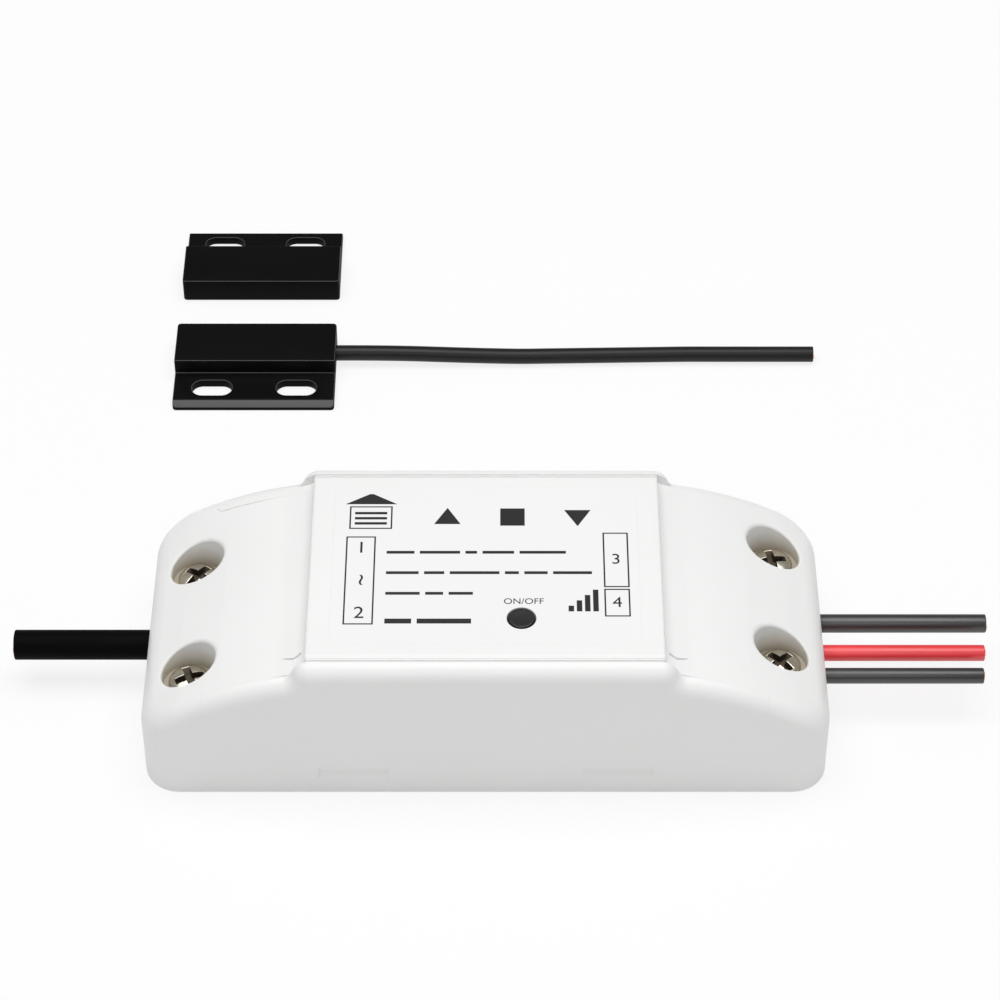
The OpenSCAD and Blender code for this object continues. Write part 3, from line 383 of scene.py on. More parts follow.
def block(low, high, corner=0, segments=8):
    """A box between two corners, with its upright edges rounded."""
    bm = bmesh.new()
    size = Vector(high) - Vector(low)
    middle = (Vector(low) + Vector(high)) / 2
    bmesh.ops.create_cube(bm, size=1, matrix=Matrix.Translation(middle) @ Matrix.Diagonal((*size, 1)))
    if corner:
        uprights = [e for e in bm.edges if abs(e.verts[0].co.z - e.verts[1].co.z) > size.z / 2]
        round_edges(bm, uprights, corner, segments)
    return bm


def rod(start, end, r, segments=48):
    """A round bar between two points."""
    line = Vector(end) - Vector(start)
    turn = Vector((0, 0, 1)).rotation_difference(line).to_matrix().to_4x4()
    bm = bmesh.new()
    bmesh.ops.create_cone(
        bm, cap_ends=True, segments=segments, radius1=r, radius2=r, depth=line.length,
        matrix=Matrix.Translation((Vector(start) + Vector(end)) / 2) @ turn,
    )
    return bm


def upright_rod(x, y, z0, z1, r):
    """A round bar that stands upright."""
    return rod((x, y, z0), (x, y, z1), r)


def draw_line(bm, vert, x, z):
    """Go on from a vertex of a side outline, straight to a point."""
    grown = bmesh.ops.extrude_vert_indiv(bm, verts=[vert])["verts"][0]
    grown.co = (x, vert.co.y, z)
    return grown


def draw_arc(bm, vert, x, z, turn, steps):
    """Go on from a vertex of a side outline, on an arc about a point, down to the right."""
    drawn = bmesh.ops.spin(
        bm, geom=[vert], cent=(x, vert.co.y, z), axis=(0, 1, 0), angle=turn, steps=steps
    )
    return next(item for item in drawn["geom_last"] if isinstance(item, bmesh.types.BMVert))


def thicken(bm, vec):
    """Draw the faces of a bmesh out along a vector, into closed bodies."""
    grown = bmesh.ops.extrude_face_region(bm, geom=bm.faces[:])["geom"]
    bmesh.ops.translate(bm, vec=vec, verts=[v for v in grown if isinstance(v, bmesh.types.BMVert)])


def close_outline(bm, first, last, width):
    """Close a side outline and give it its width along Y."""
    bm.edges.new((last, first))
    bmesh.ops.contextual_create(bm, geom=bm.edges[:])
    thicken(bm, (0, width, 0))


case_finish = dict(
    colour=(0.87, 0.872, 0.865), roughness=0.4, change=0.008, skin=3200, depth=0.012, flow=45
)
case_white = moulded("case_white", **case_finish)
case_smooth = 20

case_low, case_high = box_mm("base_shell")
lid_low, lid_high = box_mm("top_cover")
wall = 2
floor_t = 2
corner_r = 4.6
inner_corner_r = 2.6
shoulder_r = 2.2
foot_r = 0.3
cover_top = 20.7
end_h = 11.8
arc_x = lid_high.x - 5
arc_run = case_high.x - arc_x
arc_fall = cover_top - end_h
arc_r = (arc_run ** 2 + arc_fall ** 2) / (2 * arc_fall)
arc_z = cover_top - arc_r
kink_x = lid_high.x + 13.2
parting_z = 6.3
last_facet_x = case_high.x - corner_r - 0.2
last_facet_z = arc_z + math.sqrt(arc_r ** 2 - (last_facet_x - arc_x) ** 2)
end_slope = (end_h - last_facet_z) / (case_high.x - last_facet_x)
sweep_start = lid_high.x - 0.6
sweep_run = 3.4
sweep_end = sweep_start + sweep_run
sweep_lean = math.radians(73)
tongue_z = 21.3
tongue_foot = lid_high.x + 4.6
arc_steps = 40
drum_steps = 160
sweep_steps = 6
tongue_steps = 12
shoulder_steps = 6
foot_steps = 5
beyond = 10
inner_x = case_high.x - wall
inner_y = case_high.y - wall
roof = case_high.z + beyond
far_x = case_high.x + beyond
far_y = case_high.y + beyond
far_z = end_h + end_slope * beyond


def arc_height(x):
    """Height over the table of the end covers' curved top, which runs out in a straight slope."""
    if x <= last_facet_x:
        return arc_z + math.sqrt(arc_r ** 2 - (x - arc_x) ** 2)
    return last_facet_z + end_slope * (x - last_facet_x)


def arc_angle(x):
    """Angle from upright of a point on the end covers' curved top."""
    return math.asin((x - arc_x) / arc_r)


def tongue_curve():
    """Radius and middle of the hollow curve in which a cover's tongue rises to the lid."""
    slope = arc_angle(tongue_foot)
    run = tongue_foot - lid_high.x
    rise = tongue_z - arc_height(tongue_foot)
    r = (run ** 2 + rise ** 2) / (2 * (rise * math.cos(slope) - run * math.sin(slope)))
    return r, tongue_foot + r * math.sin(slope), arc_height(tongue_foot) + r * math.cos(slope)


hollow_r, hollow_x, hollow_z = tongue_curve()


def arc_drum(r, side=1):
    """A round bar along Y about the centre of an end cover's curve."""
    reach = far_y + margin
    return rod((side * arc_x, -reach, arc_z), (side * arc_x, reach, arc_z), r, drum_steps)


upright = 0.05
looks_up = 0.3
looks_down = -0.1


def is_rim(edge):
    """True for an edge between an upright face and one that looks up."""
    heights = [f.normal.z for f in edge.link_faces]
    return min(abs(h) for h in heights) < upright and max(heights) > looks_up


def is_foot(edge):
    """True for an edge round the flat underside."""
    on_table = all(v.co.z < hair for v in edge.verts)
    return on_table and max(f.normal.z for f in edge.link_faces) > looks_down


def case_form(name, with_rails):
    """The closed outer form, with the rails' S fall or the tongues' hollow one, filleted round its top."""
    curve_x = sweep_end if with_rails else tongue_foot
    curve_z = arc_height(curve_x)
    bm = bmesh.new()
    first = bm.verts.new((0, case_low.y - beyond, case_high.z if with_rails else tongue_z))
    if with_rails:
        slope = arc_angle(curve_x)
        runs = (math.sin(sweep_lean), math.sin(sweep_lean) - math.sin(slope))
        drops = (1 - math.cos(sweep_lean), math.cos(slope) - math.cos(sweep_lean))
        convex_r, concave_r = Matrix((runs, drops)).inverted() @ Vector((sweep_run, case_high.z - curve_z))
        vert = draw_line(bm, first, sweep_start, case_high.z)
        vert = draw_arc(bm, vert, sweep_start, case_high.z - convex_r, sweep_lean, sweep_steps)
        centre_x = curve_x + concave_r * math.sin(slope)
        centre_z = curve_z + concave_r * math.cos(slope)
        vert = draw_arc(bm, vert, centre_x, centre_z, slope - sweep_lean, sweep_steps)
    else:
        lean = math.asin((hollow_x - lid_high.x) / hollow_r)
        vert = draw_line(bm, first, lid_high.x, tongue_z)
        vert = draw_arc(bm, vert, hollow_x, hollow_z, arc_angle(curve_x) - lean, tongue_steps)
    turn = arc_angle(last_facet_x) - arc_angle(curve_x)
    vert = draw_arc(bm, vert, arc_x, arc_z, turn, arc_steps)
    vert = draw_line(bm, vert, far_x, far_z)
    vert = draw_line(bm, vert, far_x, -beyond)
    vert = draw_line(bm, vert, 0, -beyond)
    close_outline(bm, first, vert, 2 * far_y)
    middle = [f for f in bm.faces if all(abs(v.co.x) < hair for v in f.verts)]
    bmesh.ops.delete(bm, geom=middle, context="FACES")
    bmesh.ops.mirror(bm, geom=bm.verts[:] + bm.edges[:] + bm.faces[:], axis="X", merge_dist=hair)
    form = stand(name, block(case_low, (case_high.x, case_high.y, roof), corner_r))
    carve(form, stand("side_outline", bm), operation="INTERSECT")
    return round_where(form, shoulder_r, shoulder_steps, is_rim)


base = case_form("base_moulding", True)
round_where(base, foot_r, foot_steps, is_foot)
carve(base, stand("cavity", block((-inner_x, -inner_y, floor_t), (inner_x, inner_y, roof), inner_corner_r)))
for side in (-1, 1):
    near, far = sorted((side * kink_x, side * far_x))
    space = stand("cover_space", block((near, -far_y, parting_z), (far, far_y, roof)))
    near, far = sorted((side * (kink_x - margin), side * inner_x))
    below = stand("below_cover", arc_drum(arc_r - shoulder_r, side))
    carve(below, stand("end_room", block((near, -far_y, 0), (far, far_y, roof))), operation="INTERSECT")
    carve(space, below)
    carve(base, space)

dent_x = 17
dent_z = 4
dent_r = 2.4
dent_depth = 0.25
dent_reach = Vector((4.5, 0, 0))
dent_steps = 96
for side_x in (-1, 1):
    for side_y in (-1, 1):
        spot = Vector((side_x * dent_x, side_y * (case_high.y + dent_r - dent_depth), dent_z))
        carve(base, stand("dent", rod(spot - dent_reach, spot + dent_reach, dent_r, dent_steps)))

well_x = 38.1
well_ys = (-10.6, 7.8)
well_z = 11.5
boss_z = 9.6
post_d = 4.8
pilot_d = 2.3
pilot_floor = 3
board_low, board_high = box_mm("circuit_board")
standoff_d = 4
standoff_inset = 3.2
ledge_w = 1.4
ledge_t = 1.5
ledge_end = 5
skirt_z = 17
overlap = 0.3
for side in (-1, 1):
    for y in well_ys:
        post = stand("post", upright_rod(side * well_x, -side * y, floor_t - overlap, boss_z, post_d / 2))
        carve(post, stand("pilot", upright_rod(side * well_x, -side * y, pilot_floor, roof, pilot_d / 2)))
        carve(base, post, operation="UNION")
    for y in (board_low.y + standoff_inset, board_high.y - standoff_inset):
        x = side * (board_high.x - standoff_inset)
        standoff = upright_rod(x, y, floor_t - overlap, board_low.z, standoff_d / 2)
        carve(base, stand("standoff", standoff), operation="UNION")
    ledge_ys = sorted((side * (inner_y - ledge_w), side * (inner_y + overlap)))
    ledge_x = lid_high.x - ledge_end
    ledge = block((-ledge_x, ledge_ys[0], skirt_z - ledge_t), (ledge_x, ledge_ys[1], skirt_z))
    carve(base, stand("ledge", ledge), operation="UNION")

lead_z = parting_z
lead_gap = 0.05
leads = {node: box_mm(node) for node in
         ("mains_sheath", "sensor_lead_sheath", "output_lead_red", "output_lead_black")}


def lead_hole(low, high):
    """A cutter for the hole that a lead leaves the case by."""
    side = -1 if low.x < 0 else 1
    y = (low.y + high.y) / 2
    r = (high.y - low.y) / 2 + lead_gap
    return stand("lead_hole", rod((side * (inner_x - margin), y, lead_z), (side * far_x, y, lead_z), r))


for low, high in leads.values():
    carve(base, lead_hole(low, high))
hand_over(base, case_white, "controller", "case_white", "base_shell", smooth=case_smooth)


# Circuit board: glass laminate under green lacquer, held by two screws, with all parts soldered to it.
# The parts on it keep their plain bought shapes and get the finish of what they are made of.
def metal(name, colour, roughness, change=0.08, skin=900, depth=0.004, flow=220):
    """Plated or bare metal with slight spots of handling and a fine drawn surface."""
    material, shader = grained(name, colour, roughness, change, skin, depth, flow)
    shader.inputs["Metallic"].default_value = 1
    return material


painted_groove_shade = 0.3
wire_relief = 0.6


def wound(name, colour, roughness, pitch):
    """Fine wire wound in level turns, with the pitch in millimetres, and painted shade in the grooves
    between the turns.
    """
    material, tree, shader = shaded(name)
    turns = tree.nodes.new("ShaderNodeTexWave")
    turns.bands_direction = "Z"
    turns.inputs["Scale"].default_value = math.pi / 10 / (pitch * MM)
    turns.inputs["Distortion"].default_value = 0.4
    lay_on_piece(tree, turns)
    # The colour follows the turns' relief: darker in the grooves as painted shade, lighter on the tops as
    # painted highlight.
    tree.links.new(two_tone(tree, turns.outputs["Fac"], colour, painted_groove_shade), shader.inputs["Base Color"])
    tree.links.new(bumped(tree, turns.outputs["Fac"], pitch / 2 * MM, wire_relief), shader.inputs["Normal"])
    shader.inputs["Roughness"].default_value = roughness
    return material


track_shades = (1.4, 1.2)
track_relief = 0.5
track_t = 0.03


def lacquered_board(name, colour, track_l, track_w):
    """Lacquered laminate whose copper tracks show as a lighter relief, with their sizes in millimetres."""
    material, tree, shader = shaded(name)
    tracks = tree.nodes.new("ShaderNodeTexBrick")
    tracks.inputs["Scale"].default_value = 1
    tracks.inputs["Brick Width"].default_value = track_l * MM
    tracks.inputs["Row Height"].default_value = track_w * MM
    tracks.inputs["Mortar Size"].default_value = track_w / 8 * MM
    for tone, shade in zip(("Color1", "Color2"), track_shades):
        tracks.inputs[tone].default_value = [c * shade for c in colour] + [1]
    tracks.inputs["Mortar"].default_value = [*colour, 1]
    lay_on_piece(tree, tracks)
    tree.links.new(tracks.outputs["Color"], shader.inputs["Base Color"])
    raised = math_node(tree, "SUBTRACT", 1, tracks.outputs["Fac"])
    tree.links.new(bumped(tree, raised, track_t * MM, track_relief), shader.inputs["Normal"])
    shader.inputs["Roughness"].default_value = 0.35
    return material


def clear(name, colour, roughness):
    """Clear glass or resin with a faint waviness."""
    material, shader = grained(name, colour, roughness, change=0.02, skin=300, depth=0.004, flow=200)
    shader.inputs["Transmission Weight"].default_value = 1
    shader.inputs["IOR"].default_value = 1.5
    return material


def finish(material, *nodes):
    """Give CAD nodes that keep their shape a finish."""
    for node in nodes:
        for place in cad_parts[node].material_slots:
            place.material = material


copper = metal("copper", (0.9, 0.45, 0.25), 0.35)
tinned = metal("tinned", (0.78, 0.78, 0.77), 0.3)
soft_iron = metal("soft_iron", (0.46, 0.46, 0.47), 0.45)
spring_steel = metal("spring_steel", (0.62, 0.62, 0.63), 0.28)
chip_epoxy = moulded("chip_epoxy", (0.012, 0.012, 0.013), 0.55, skin=4200)
bobbin_black = moulded("bobbin_black", (0.015, 0.015, 0.016), 0.5)
ivory_nylon = moulded("ivory_nylon", (0.78, 0.74, 0.62), 0.42)
finish(lacquered_board("board_green", (0.008, 0.09, 0.035), 9, 1.6), "circuit_board")
finish(tinned, "board_screws", "solder_pins", "terminal_screws", "radio_shield")
finish(moulded("terminal_green", (0.02, 0.24, 0.1), 0.4), "input_terminal_block", "output_terminal_block")
finish(ivory_nylon, "sensor_socket", "relay_bobbin")
finish(moulded("relay_blue", (0.02, 0.1, 0.42), 0.36), "relay_case", "relay_base")
finish(soft_iron, "relay_yoke", "relay_core", "relay_armature")
finish(wound("coil_red", (0.42, 0.08, 0.03), 0.35, 0.16), "relay_coil")
finish(copper, "relay_contact_arm", "relay_fixed_contact", "radio_antenna", "sensor_cable_cores")
finish(moulded("ferrite", (0.03, 0.03, 0.032), 0.7, change=0.15, depth=0.04), "transformer_core")
finish(bobbin_black, "transformer_bobbin", "switch_body", "switch_plunger")
finish(wound("tape_yellow", (0.75, 0.55, 0.06), 0.4, 1.1), "transformer_winding")
finish(moulded("capacitor_sleeve", (0.014, 0.015, 0.02), 0.3), "bulk_capacitors")
finish(moulded("capacitor_green", (0.03, 0.12, 0.06), 0.3), "output_capacitor")
finish(moulded("resistor_green", (0.16, 0.26, 0.1), 0.5), "inrush_resistor")
finish(moulded("varistor_blue", (0.03, 0.12, 0.38), 0.32), "varistor")
finish(chip_epoxy, "bridge_rectifier", "power_chip")
finish(wound("choke_wire", (0.05, 0.045, 0.04), 0.35, 0.3), "filter_choke")
finish(moulded("opto_white", (0.8, 0.8, 0.78), 0.45), "optocoupler")
finish(lacquered_board("radio_blue", (0.006, 0.02, 0.12), 3, 0.6), "radio_board")
finish(clear("led_clear", (0.8, 0.95, 0.9), 0.12), "status_led")
finish(spring_steel, "reed_blades")
finish(clear("reed_glass_green", (0.72, 0.92, 0.8), 0.05), "reed_glass")


# Leads: a two-core mains lead at the left, and a two-core sensor lead and two single cores at the right.
# Each is vinyl pulled over stranded copper, cut square with the strands just standing out.
mains_black = moulded("mains_black", (0.0015, 0.0015, 0.0016), 0.6, change=0.2, depth=0.008, specular=0.05)
vinyl_black = moulded("vinyl_black", (0.012, 0.012, 0.0125), 0.38, change=0.2, depth=0.006, specular=1)
vinyl_red = moulded("vinyl_red", (0.85, 0.03, 0.038), 0.38, change=0.05, depth=0.006, specular=1)
mains_core_d = 1.5
mains_core_y = 0.95
sensor_core_d = 0.9
sensor_core_y = 0.625
cut_edge_r = 0.14
cut_edge_steps = 3
cut_angle = 50
lead_steps = 64


def lead_jacket(name, node, core_d=0, core_y=0):
    """The jacket of a lead with a bore for each of its two cores, or of a single core."""
    low, high = leads[node]
    y = (low.y + high.y) / 2
    r = (high.y - low.y) / 2
    jacket = stand(name, rod((low.x, y, lead_z), (high.x, y, lead_z), r, lead_steps))
    if core_d:
        x0 = low.x - margin
        x1 = high.x + margin
        for bore_y in (y - core_y, y + core_y):
            bore = rod((x0, bore_y, lead_z), (x1, bore_y, lead_z), core_d / 2 + lead_gap)
            carve(jacket, stand("bore", bore))
    return soften(jacket, cut_edge_r, cut_edge_steps, cut_angle)


for name, node, material, slot, *cores in (
    ("mains_jacket", "mains_sheath", mains_black, "cable_black", mains_core_d, mains_core_y),
    ("sensor_jacket", "sensor_lead_sheath", vinyl_black, "cable_black", sensor_core_d, sensor_core_y),
    ("red_jacket", "output_lead_red", vinyl_red, "lead_red"),
    ("black_jacket", "output_lead_black", vinyl_black, "cable_black"),
):
    hand_over(lead_jacket(name, node, *cores), material, "controller", slot, node)
finish(moulded("core_brown", (0.16, 0.06, 0.02), 0.4), "mains_live_core")
finish(moulded("core_blue", (0.03, 0.12, 0.5), 0.4), "mains_neutral_core")
finish(moulded("core_white", (0.78, 0.78, 0.76), 0.4), "sensor_lead_cores")

copper_d = 1
thin_copper_d = 0.5
copper_out = 0.15
terminal_x = (26.8, 32)
terminal_pitch = 5.08
outer_strands = 6
strand_steps = 14
strand_edge_steps = 2


def lead_middle(node):
    """Place of a lead across the case."""
    return sum(corner.y for corner in leads[node]) / 2


def add_strands(bm, x0, x1, y, d):
    """Lay a bundle of fine wires along X, one in the middle of a ring."""
    r = d / 6
    ring = [Vector((0, 2 * r, 0)) for _ in range(outer_strands)]
    for number, spot in enumerate(ring):
        spot.rotate(Matrix.Rotation(math.tau * number / outer_strands, 3, "X"))
    for spot in [Vector()] + ring:
        centre = Vector((0, y, lead_z)) + spot
        wire = rod(centre + Vector((x0, 0, 0)), centre + Vector((x1, 0, 0)), r, strand_steps)
        ends = [e for e in wire.edges if abs(e.verts[0].co.x - e.verts[1].co.x) < hair]
        round_edges(wire, ends, r / 3, strand_edge_steps)
        mesh = bpy.data.meshes.new("wire")
        wire.to_mesh(mesh)
        wire.free()
        bm.from_mesh(mesh)


mains_end = leads["mains_sheath"][0].x
mains_y = lead_middle("mains_sheath")
sensor_end = leads["sensor_lead_sheath"][1].x
strands = bmesh.new()
for side in (-1, 1):
    sensor_y = lead_middle("sensor_lead_sheath") + side * sensor_core_y
    add_strands(strands, mains_end - copper_out, mains_end, mains_y + side * mains_core_y, copper_d)
    add_strands(strands, -terminal_x[1], -terminal_x[0], mains_y + side * terminal_pitch / 2, copper_d)
    add_strands(strands, sensor_end, sensor_end + copper_out, sensor_y, thin_copper_d)
for node in ("output_lead_red", "output_lead_black"):
    output_end = leads[node][1].x
    add_strands(strands, *terminal_x, lead_middle(node), copper_d)
    add_strands(strands, output_end, output_end + copper_out, lead_middle(node), copper_d)
hand_over(stand("lead_strands", strands), copper, "controller", "copper", "lead_conductors")


# Lid: a white moulded cap between the side rails, with soft top edges and a shallow recess for the label.
# Four snap arms under it catch below the base's ledges.
lid_edge_r = 0.8
lid_edge_steps = 5
lid_end_r = 0.4
lid_end_steps = 4
lid_close = 0.13
lid_under = 21.2
skirt_t = 1.2
label_low, label_high = box_mm("label_panel")
label_r = 0.6
label_fit = 0.005
button_low, button_high = box_mm("button_cap")
button_x, button_y = ((button_low + button_high) / 2).xy
button_hole_r = 1.9
arm_x = 12
arm_w = 5
arm_t = 1.2
arm_y = 15.45
arm_foot = lid_low.z
barb = 0.8
barb_z = 15.35
least_run = 1


def is_long_rim(edge):
    """True for the top edges along the lid."""
    return is_rim(edge) and abs(edge.verts[0].co.x - edge.verts[1].co.x) > least_run


def is_end_rim(edge):
    """True for the top edges across the lid's ends."""
    low = lid_high.z - lid_edge_r - hair
    return all(abs(v.co.x) > lid_high.x - hair and v.co.z > low for v in edge.verts)


lid = stand("lid_moulding", block((lid_low.x, lid_low.y - lid_close, skirt_z),
                                  (lid_high.x, lid_high.y + lid_close, lid_high.z)))
round_where(lid, lid_edge_r, lid_edge_steps, is_long_rim)
round_where(lid, lid_end_r, lid_end_steps, is_end_rim)
hollow = block((lid_low.x + skirt_t, lid_low.y + skirt_t, skirt_z - margin),
               (lid_high.x - skirt_t, lid_high.y - skirt_t, lid_under))
carve(lid, stand("hollow", hollow))
recess = block((label_low.x - label_fit, label_low.y - label_fit, label_low.z),
               (label_high.x + label_fit, label_high.y + label_fit, roof), label_r)
carve(lid, stand("label_recess", recess))
carve(lid, stand("button_hole", upright_rod(button_x, button_y, skirt_z, roof, button_hole_r)))
for side in (-1, 1):
    for x in (-arm_x, arm_x):
        ys = sorted((side * (arm_y - arm_t), side * arm_y))
        arm = block((x - arm_w / 2, ys[0], arm_foot), (x + arm_w / 2, ys[1], lid_under + overlap))
        carve(lid, stand("snap_arm", arm), operation="UNION")
        ys = sorted((side * (arm_y - overlap), side * (arm_y + barb)))
        catch = block((x - arm_w / 2, ys[0], arm_foot), (x + arm_w / 2, ys[1], barb_z))
        for vert in catch.verts:
            if vert.co.z < barb_z and abs(vert.co.y) > arm_y:
                vert.co.y = side * arm_y
        carve(lid, stand("barb", catch), operation="UNION")
hand_over(lid, case_white, "controller", "case_white", "top_cover")


# Label: a thin plastic film, glued into the lid's recess, with a hole for the button.
# Its print is plain black ink: a garage, door signs, numbered terminals, broken bars and ON/OFF.
label_film = moulded(
    "label_film", (0.87, 0.872, 0.867), 0.38, change=0.006, skin=1400, depth=0.006, flow=40
)
ink_black = moulded("ink_black", (0.012, 0.012, 0.013), 0.45, change=0.15, skin=5200, depth=0.004)

label = stand("label_sheet", block(label_low, (label_high.x, label_high.y, lid_high.z), label_r))
carve(label, stand("button_hole", upright_rod(button_x, button_y, skirt_z, roof, button_hole_r)))
hand_over(label, label_film, "controller", "label_print", "label_panel")

ink_t = 0.012
ink_z = lid_high.z
frame_line = 0.2
row_start = -12.8
word_gap = 0.7
text_rows = (
    (2.1, 0.5, (3.6, 5.2, 1.5, 4.1, 6)), (-1.6, 0.5, (4.2, 2.6, 6.4, 1.8, 3, 5)),
    (-5.3, 0.5, (4.4, 2.3, 3.1)), (-10.2, 0.85, (3.4, 6.9)),
)
terminal_frames = ((-18.1, -14.25, -10.8, 5), (15.2, 18.5, -4.2, 5.7), (15.2, 18.5, -9.4, -4.5))
input_x = -16.1
output_x = 16.85
on_off_x = button_x + 0.3
signs = (
    ("1", 2.9, input_x, 2.9, 0), ("2", 2.9, input_x, -8.8, 0), ("~", 3.4, input_x, -2.9, math.pi / 2),
    ("3", 2.6, output_x, 0.8, 0), ("4", 2.6, output_x, -6.95, 0), ("ON/OFF", 1.42, on_off_x, -6.75, 0),
)
signal_bars = 4
signal_x = 10.6
signal_y = -8.5
signal_w = 0.7
signal_pitch = 1.05
signal_h = 1
signal_rise = 0.95
garage_x = -15
garage_half = 2.8
garage_ys = (6.4, 10.6)
slats = 3
slat_half = 2.1
slat_foot = 7.2
slat_pitch = 0.95
slat_h = 0.45
gable_half = 3.4
gable_ys = (11, 12.9)
gable_point = 1 / 14
arrow_r = 2
arrow_up = (-5, 8.3)
arrow_down = (12, 8.9)
stop_square = (1.9, 5.1, 7, 10.2)


def ink_bar(bm, x0, x1, y0, y1):
    """A printed bar between two corners, as its face."""
    place = Matrix.Translation(((x0 + x1) / 2, (y0 + y1) / 2, ink_z))
    size = Matrix.Diagonal((x1 - x0, y1 - y0, 1, 1))
    drawn = bmesh.ops.create_grid(bm, x_segments=1, y_segments=1, size=0.5, matrix=place @ size)
    return drawn["verts"][0].link_faces[0]


def ink_frame(bm, x0, x1, y0, y1):
    """A printed frame between two corners."""
    face = ink_bar(bm, x0, x1, y0, y1)
    bmesh.ops.inset_individual(bm, faces=[face], thickness=frame_line, use_even_offset=True)
    bmesh.ops.delete(bm, geom=[face], context="FACES_ONLY")


def ink_row(bm, y, height, lengths):
    """A printed row of bars of some lengths, as long as words."""
    x = row_start
    for length in lengths:
        ink_bar(bm, x, x + length, y - height / 2, y + height / 2)
        x += length + word_gap


def turned_at(x, y, z, turn):
    """The move to a place, after a turn about the upright axis."""
    return Matrix.Translation((x, y, z)) @ Matrix.Rotation(turn, 4, "Z")


def ink_arrow(bm, x, y, turn):
    """A printed triangle that points to the back, or turned from there."""
    place = turned_at(x, y, ink_z, turn)
    bmesh.ops.create_circle(bm, cap_ends=True, segments=3, radius=arrow_r, matrix=place)


def ink_words(bm, words, size, x, y, turn):
    """Printed numbers or letters about a point."""
    curve = bpy.data.curves.new("words", "FONT")
    curve.body = words
    curve.size = size
    curve.align_x = "CENTER"
    curve.align_y = "CENTER"
    lettering = show("words", curve)
    bpy.context.view_layer.update()
    mesh = bpy.data.meshes.new_from_object(lettering.evaluated_get(bpy.context.evaluated_depsgraph_get()))
    mesh.transform(turned_at(x, y, ink_z, turn))
    bm.from_mesh(mesh)
    bpy.data.objects.remove(lettering)


ink = bmesh.new()
for corners in terminal_frames:
    ink_frame(ink, *corners)
for sign in signs:
    ink_words(ink, *sign)
for row in text_rows:
    ink_row(ink, *row)
for step in range(signal_bars):
    bar_x = signal_x + signal_pitch * step
    ink_bar(ink, bar_x, bar_x + signal_w, signal_y, signal_y + signal_h + signal_rise * step)
ink_frame(ink, garage_x - garage_half, garage_x + garage_half, *garage_ys)
for slat in range(slats):
    slat_y = slat_foot + slat_pitch * slat
    ink_bar(ink, garage_x - slat_half, garage_x + slat_half, slat_y, slat_y + slat_h)
gable = ink_bar(ink, garage_x - gable_half, garage_x + gable_half, *gable_ys)
for vert in gable.verts:
    if vert.co.y > sum(gable_ys) / 2:
        vert.co.x = garage_x + (vert.co.x - garage_x) * gable_point
ink_arrow(ink, *arrow_up, 0)
ink_bar(ink, *stop_square)
ink_arrow(ink, *arrow_down, math.pi)
thicken(ink, (0, 0, ink_t))
hand_over(stand("label_ink", ink), ink_black, "controller", "label_print")


# Button: a small black moulded cap in the lid, with a flange under the lid that keeps it in.
# It presses the switch on the board through its stem.
def turned(name, outline, steps=64):
    """A piece turned about the upright axis, from an outline of radius and height pairs."""
    bm = bmesh.new()
    vert = bm.verts.new((outline[0][0], 0, outline[0][1]))
    for r, z in outline[1:]:
        vert = draw_line(bm, vert, r, z)
    bmesh.ops.spin(
        bm, geom=bm.verts[:] + bm.edges[:], cent=(0, 0, 0), axis=(0, 0, 1), angle=math.tau, steps=steps,
        use_merge=True,
    )
    return stand(name, bm)


button_black = moulded("button_black", (0.011, 0.011, 0.012), 0.4, change=0.15, depth=0.012)
button_r = 1.7
button_flange_r = 2.7
button_flange_z = (19.4, 20.8)
button_dish = 0.06
dish_inner = 0.6
dish_outer = 0.82
button_edge_r = 0.16
button_edge_steps = 3
button_angle = 40
button = turned("button_moulding", [
    (0, button_high.z - button_dish), (button_r * dish_inner, button_high.z - button_dish * dish_inner),
    (button_r * dish_outer, button_high.z), (button_r, button_high.z), (button_r, button_flange_z[1]),
    (button_flange_r, button_flange_z[1]), (button_flange_r, button_flange_z[0]),
    (button_r, button_flange_z[0]), (button_r, button_low.z), (0, button_low.z),
])
soften(button, button_edge_r, button_edge_steps, button_angle)
button.data.transform(Matrix.Translation((button_x, button_y, 0)))
hand_over(button, button_black, "button", "button_black", "button_cap")


# Snap dome: a thin spring steel cap on the switch's floor, under the plunger of the button.
# It is pressed from sheet; the real one flattens as the button goes in and clicks back, but this one keeps
# its domed shape at rest.
def ball(name, x, y, z, r):
    """A ball about a point, as a working object."""
    bm = bmesh.new()
    bmesh.ops.create_uvsphere(
        bm, u_segments=64, v_segments=48, radius=r, matrix=Matrix.Translation((x, y, z))
    )
    return stand(name, bm)


dome_low, dome_high = box_mm("switch_dome")
dome_t = 0.15
dome_h = dome_high.z - dome_low.z
dome_half = (dome_high.x - dome_low.x) / 2
dome_r = (dome_half ** 2 + dome_h ** 2) / (2 * dome_h)
dome_z = dome_high.z - dome_r
dome_room = block((dome_low.x - margin, dome_low.y - margin, dome_low.z),
                  (dome_high.x + margin, dome_high.y + margin, roof))
dome = ball("snap_dome", button_x, button_y, dome_z, dome_r)
carve(dome, ball("dome_hollow", button_x, button_y, dome_z, dome_r - dome_t))
carve(dome, stand("dome_room", dome_room), operation="INTERSECT")
hand_over(dome, spring_steel, "controller", "spring_steel", "switch_dome")
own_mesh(dome)


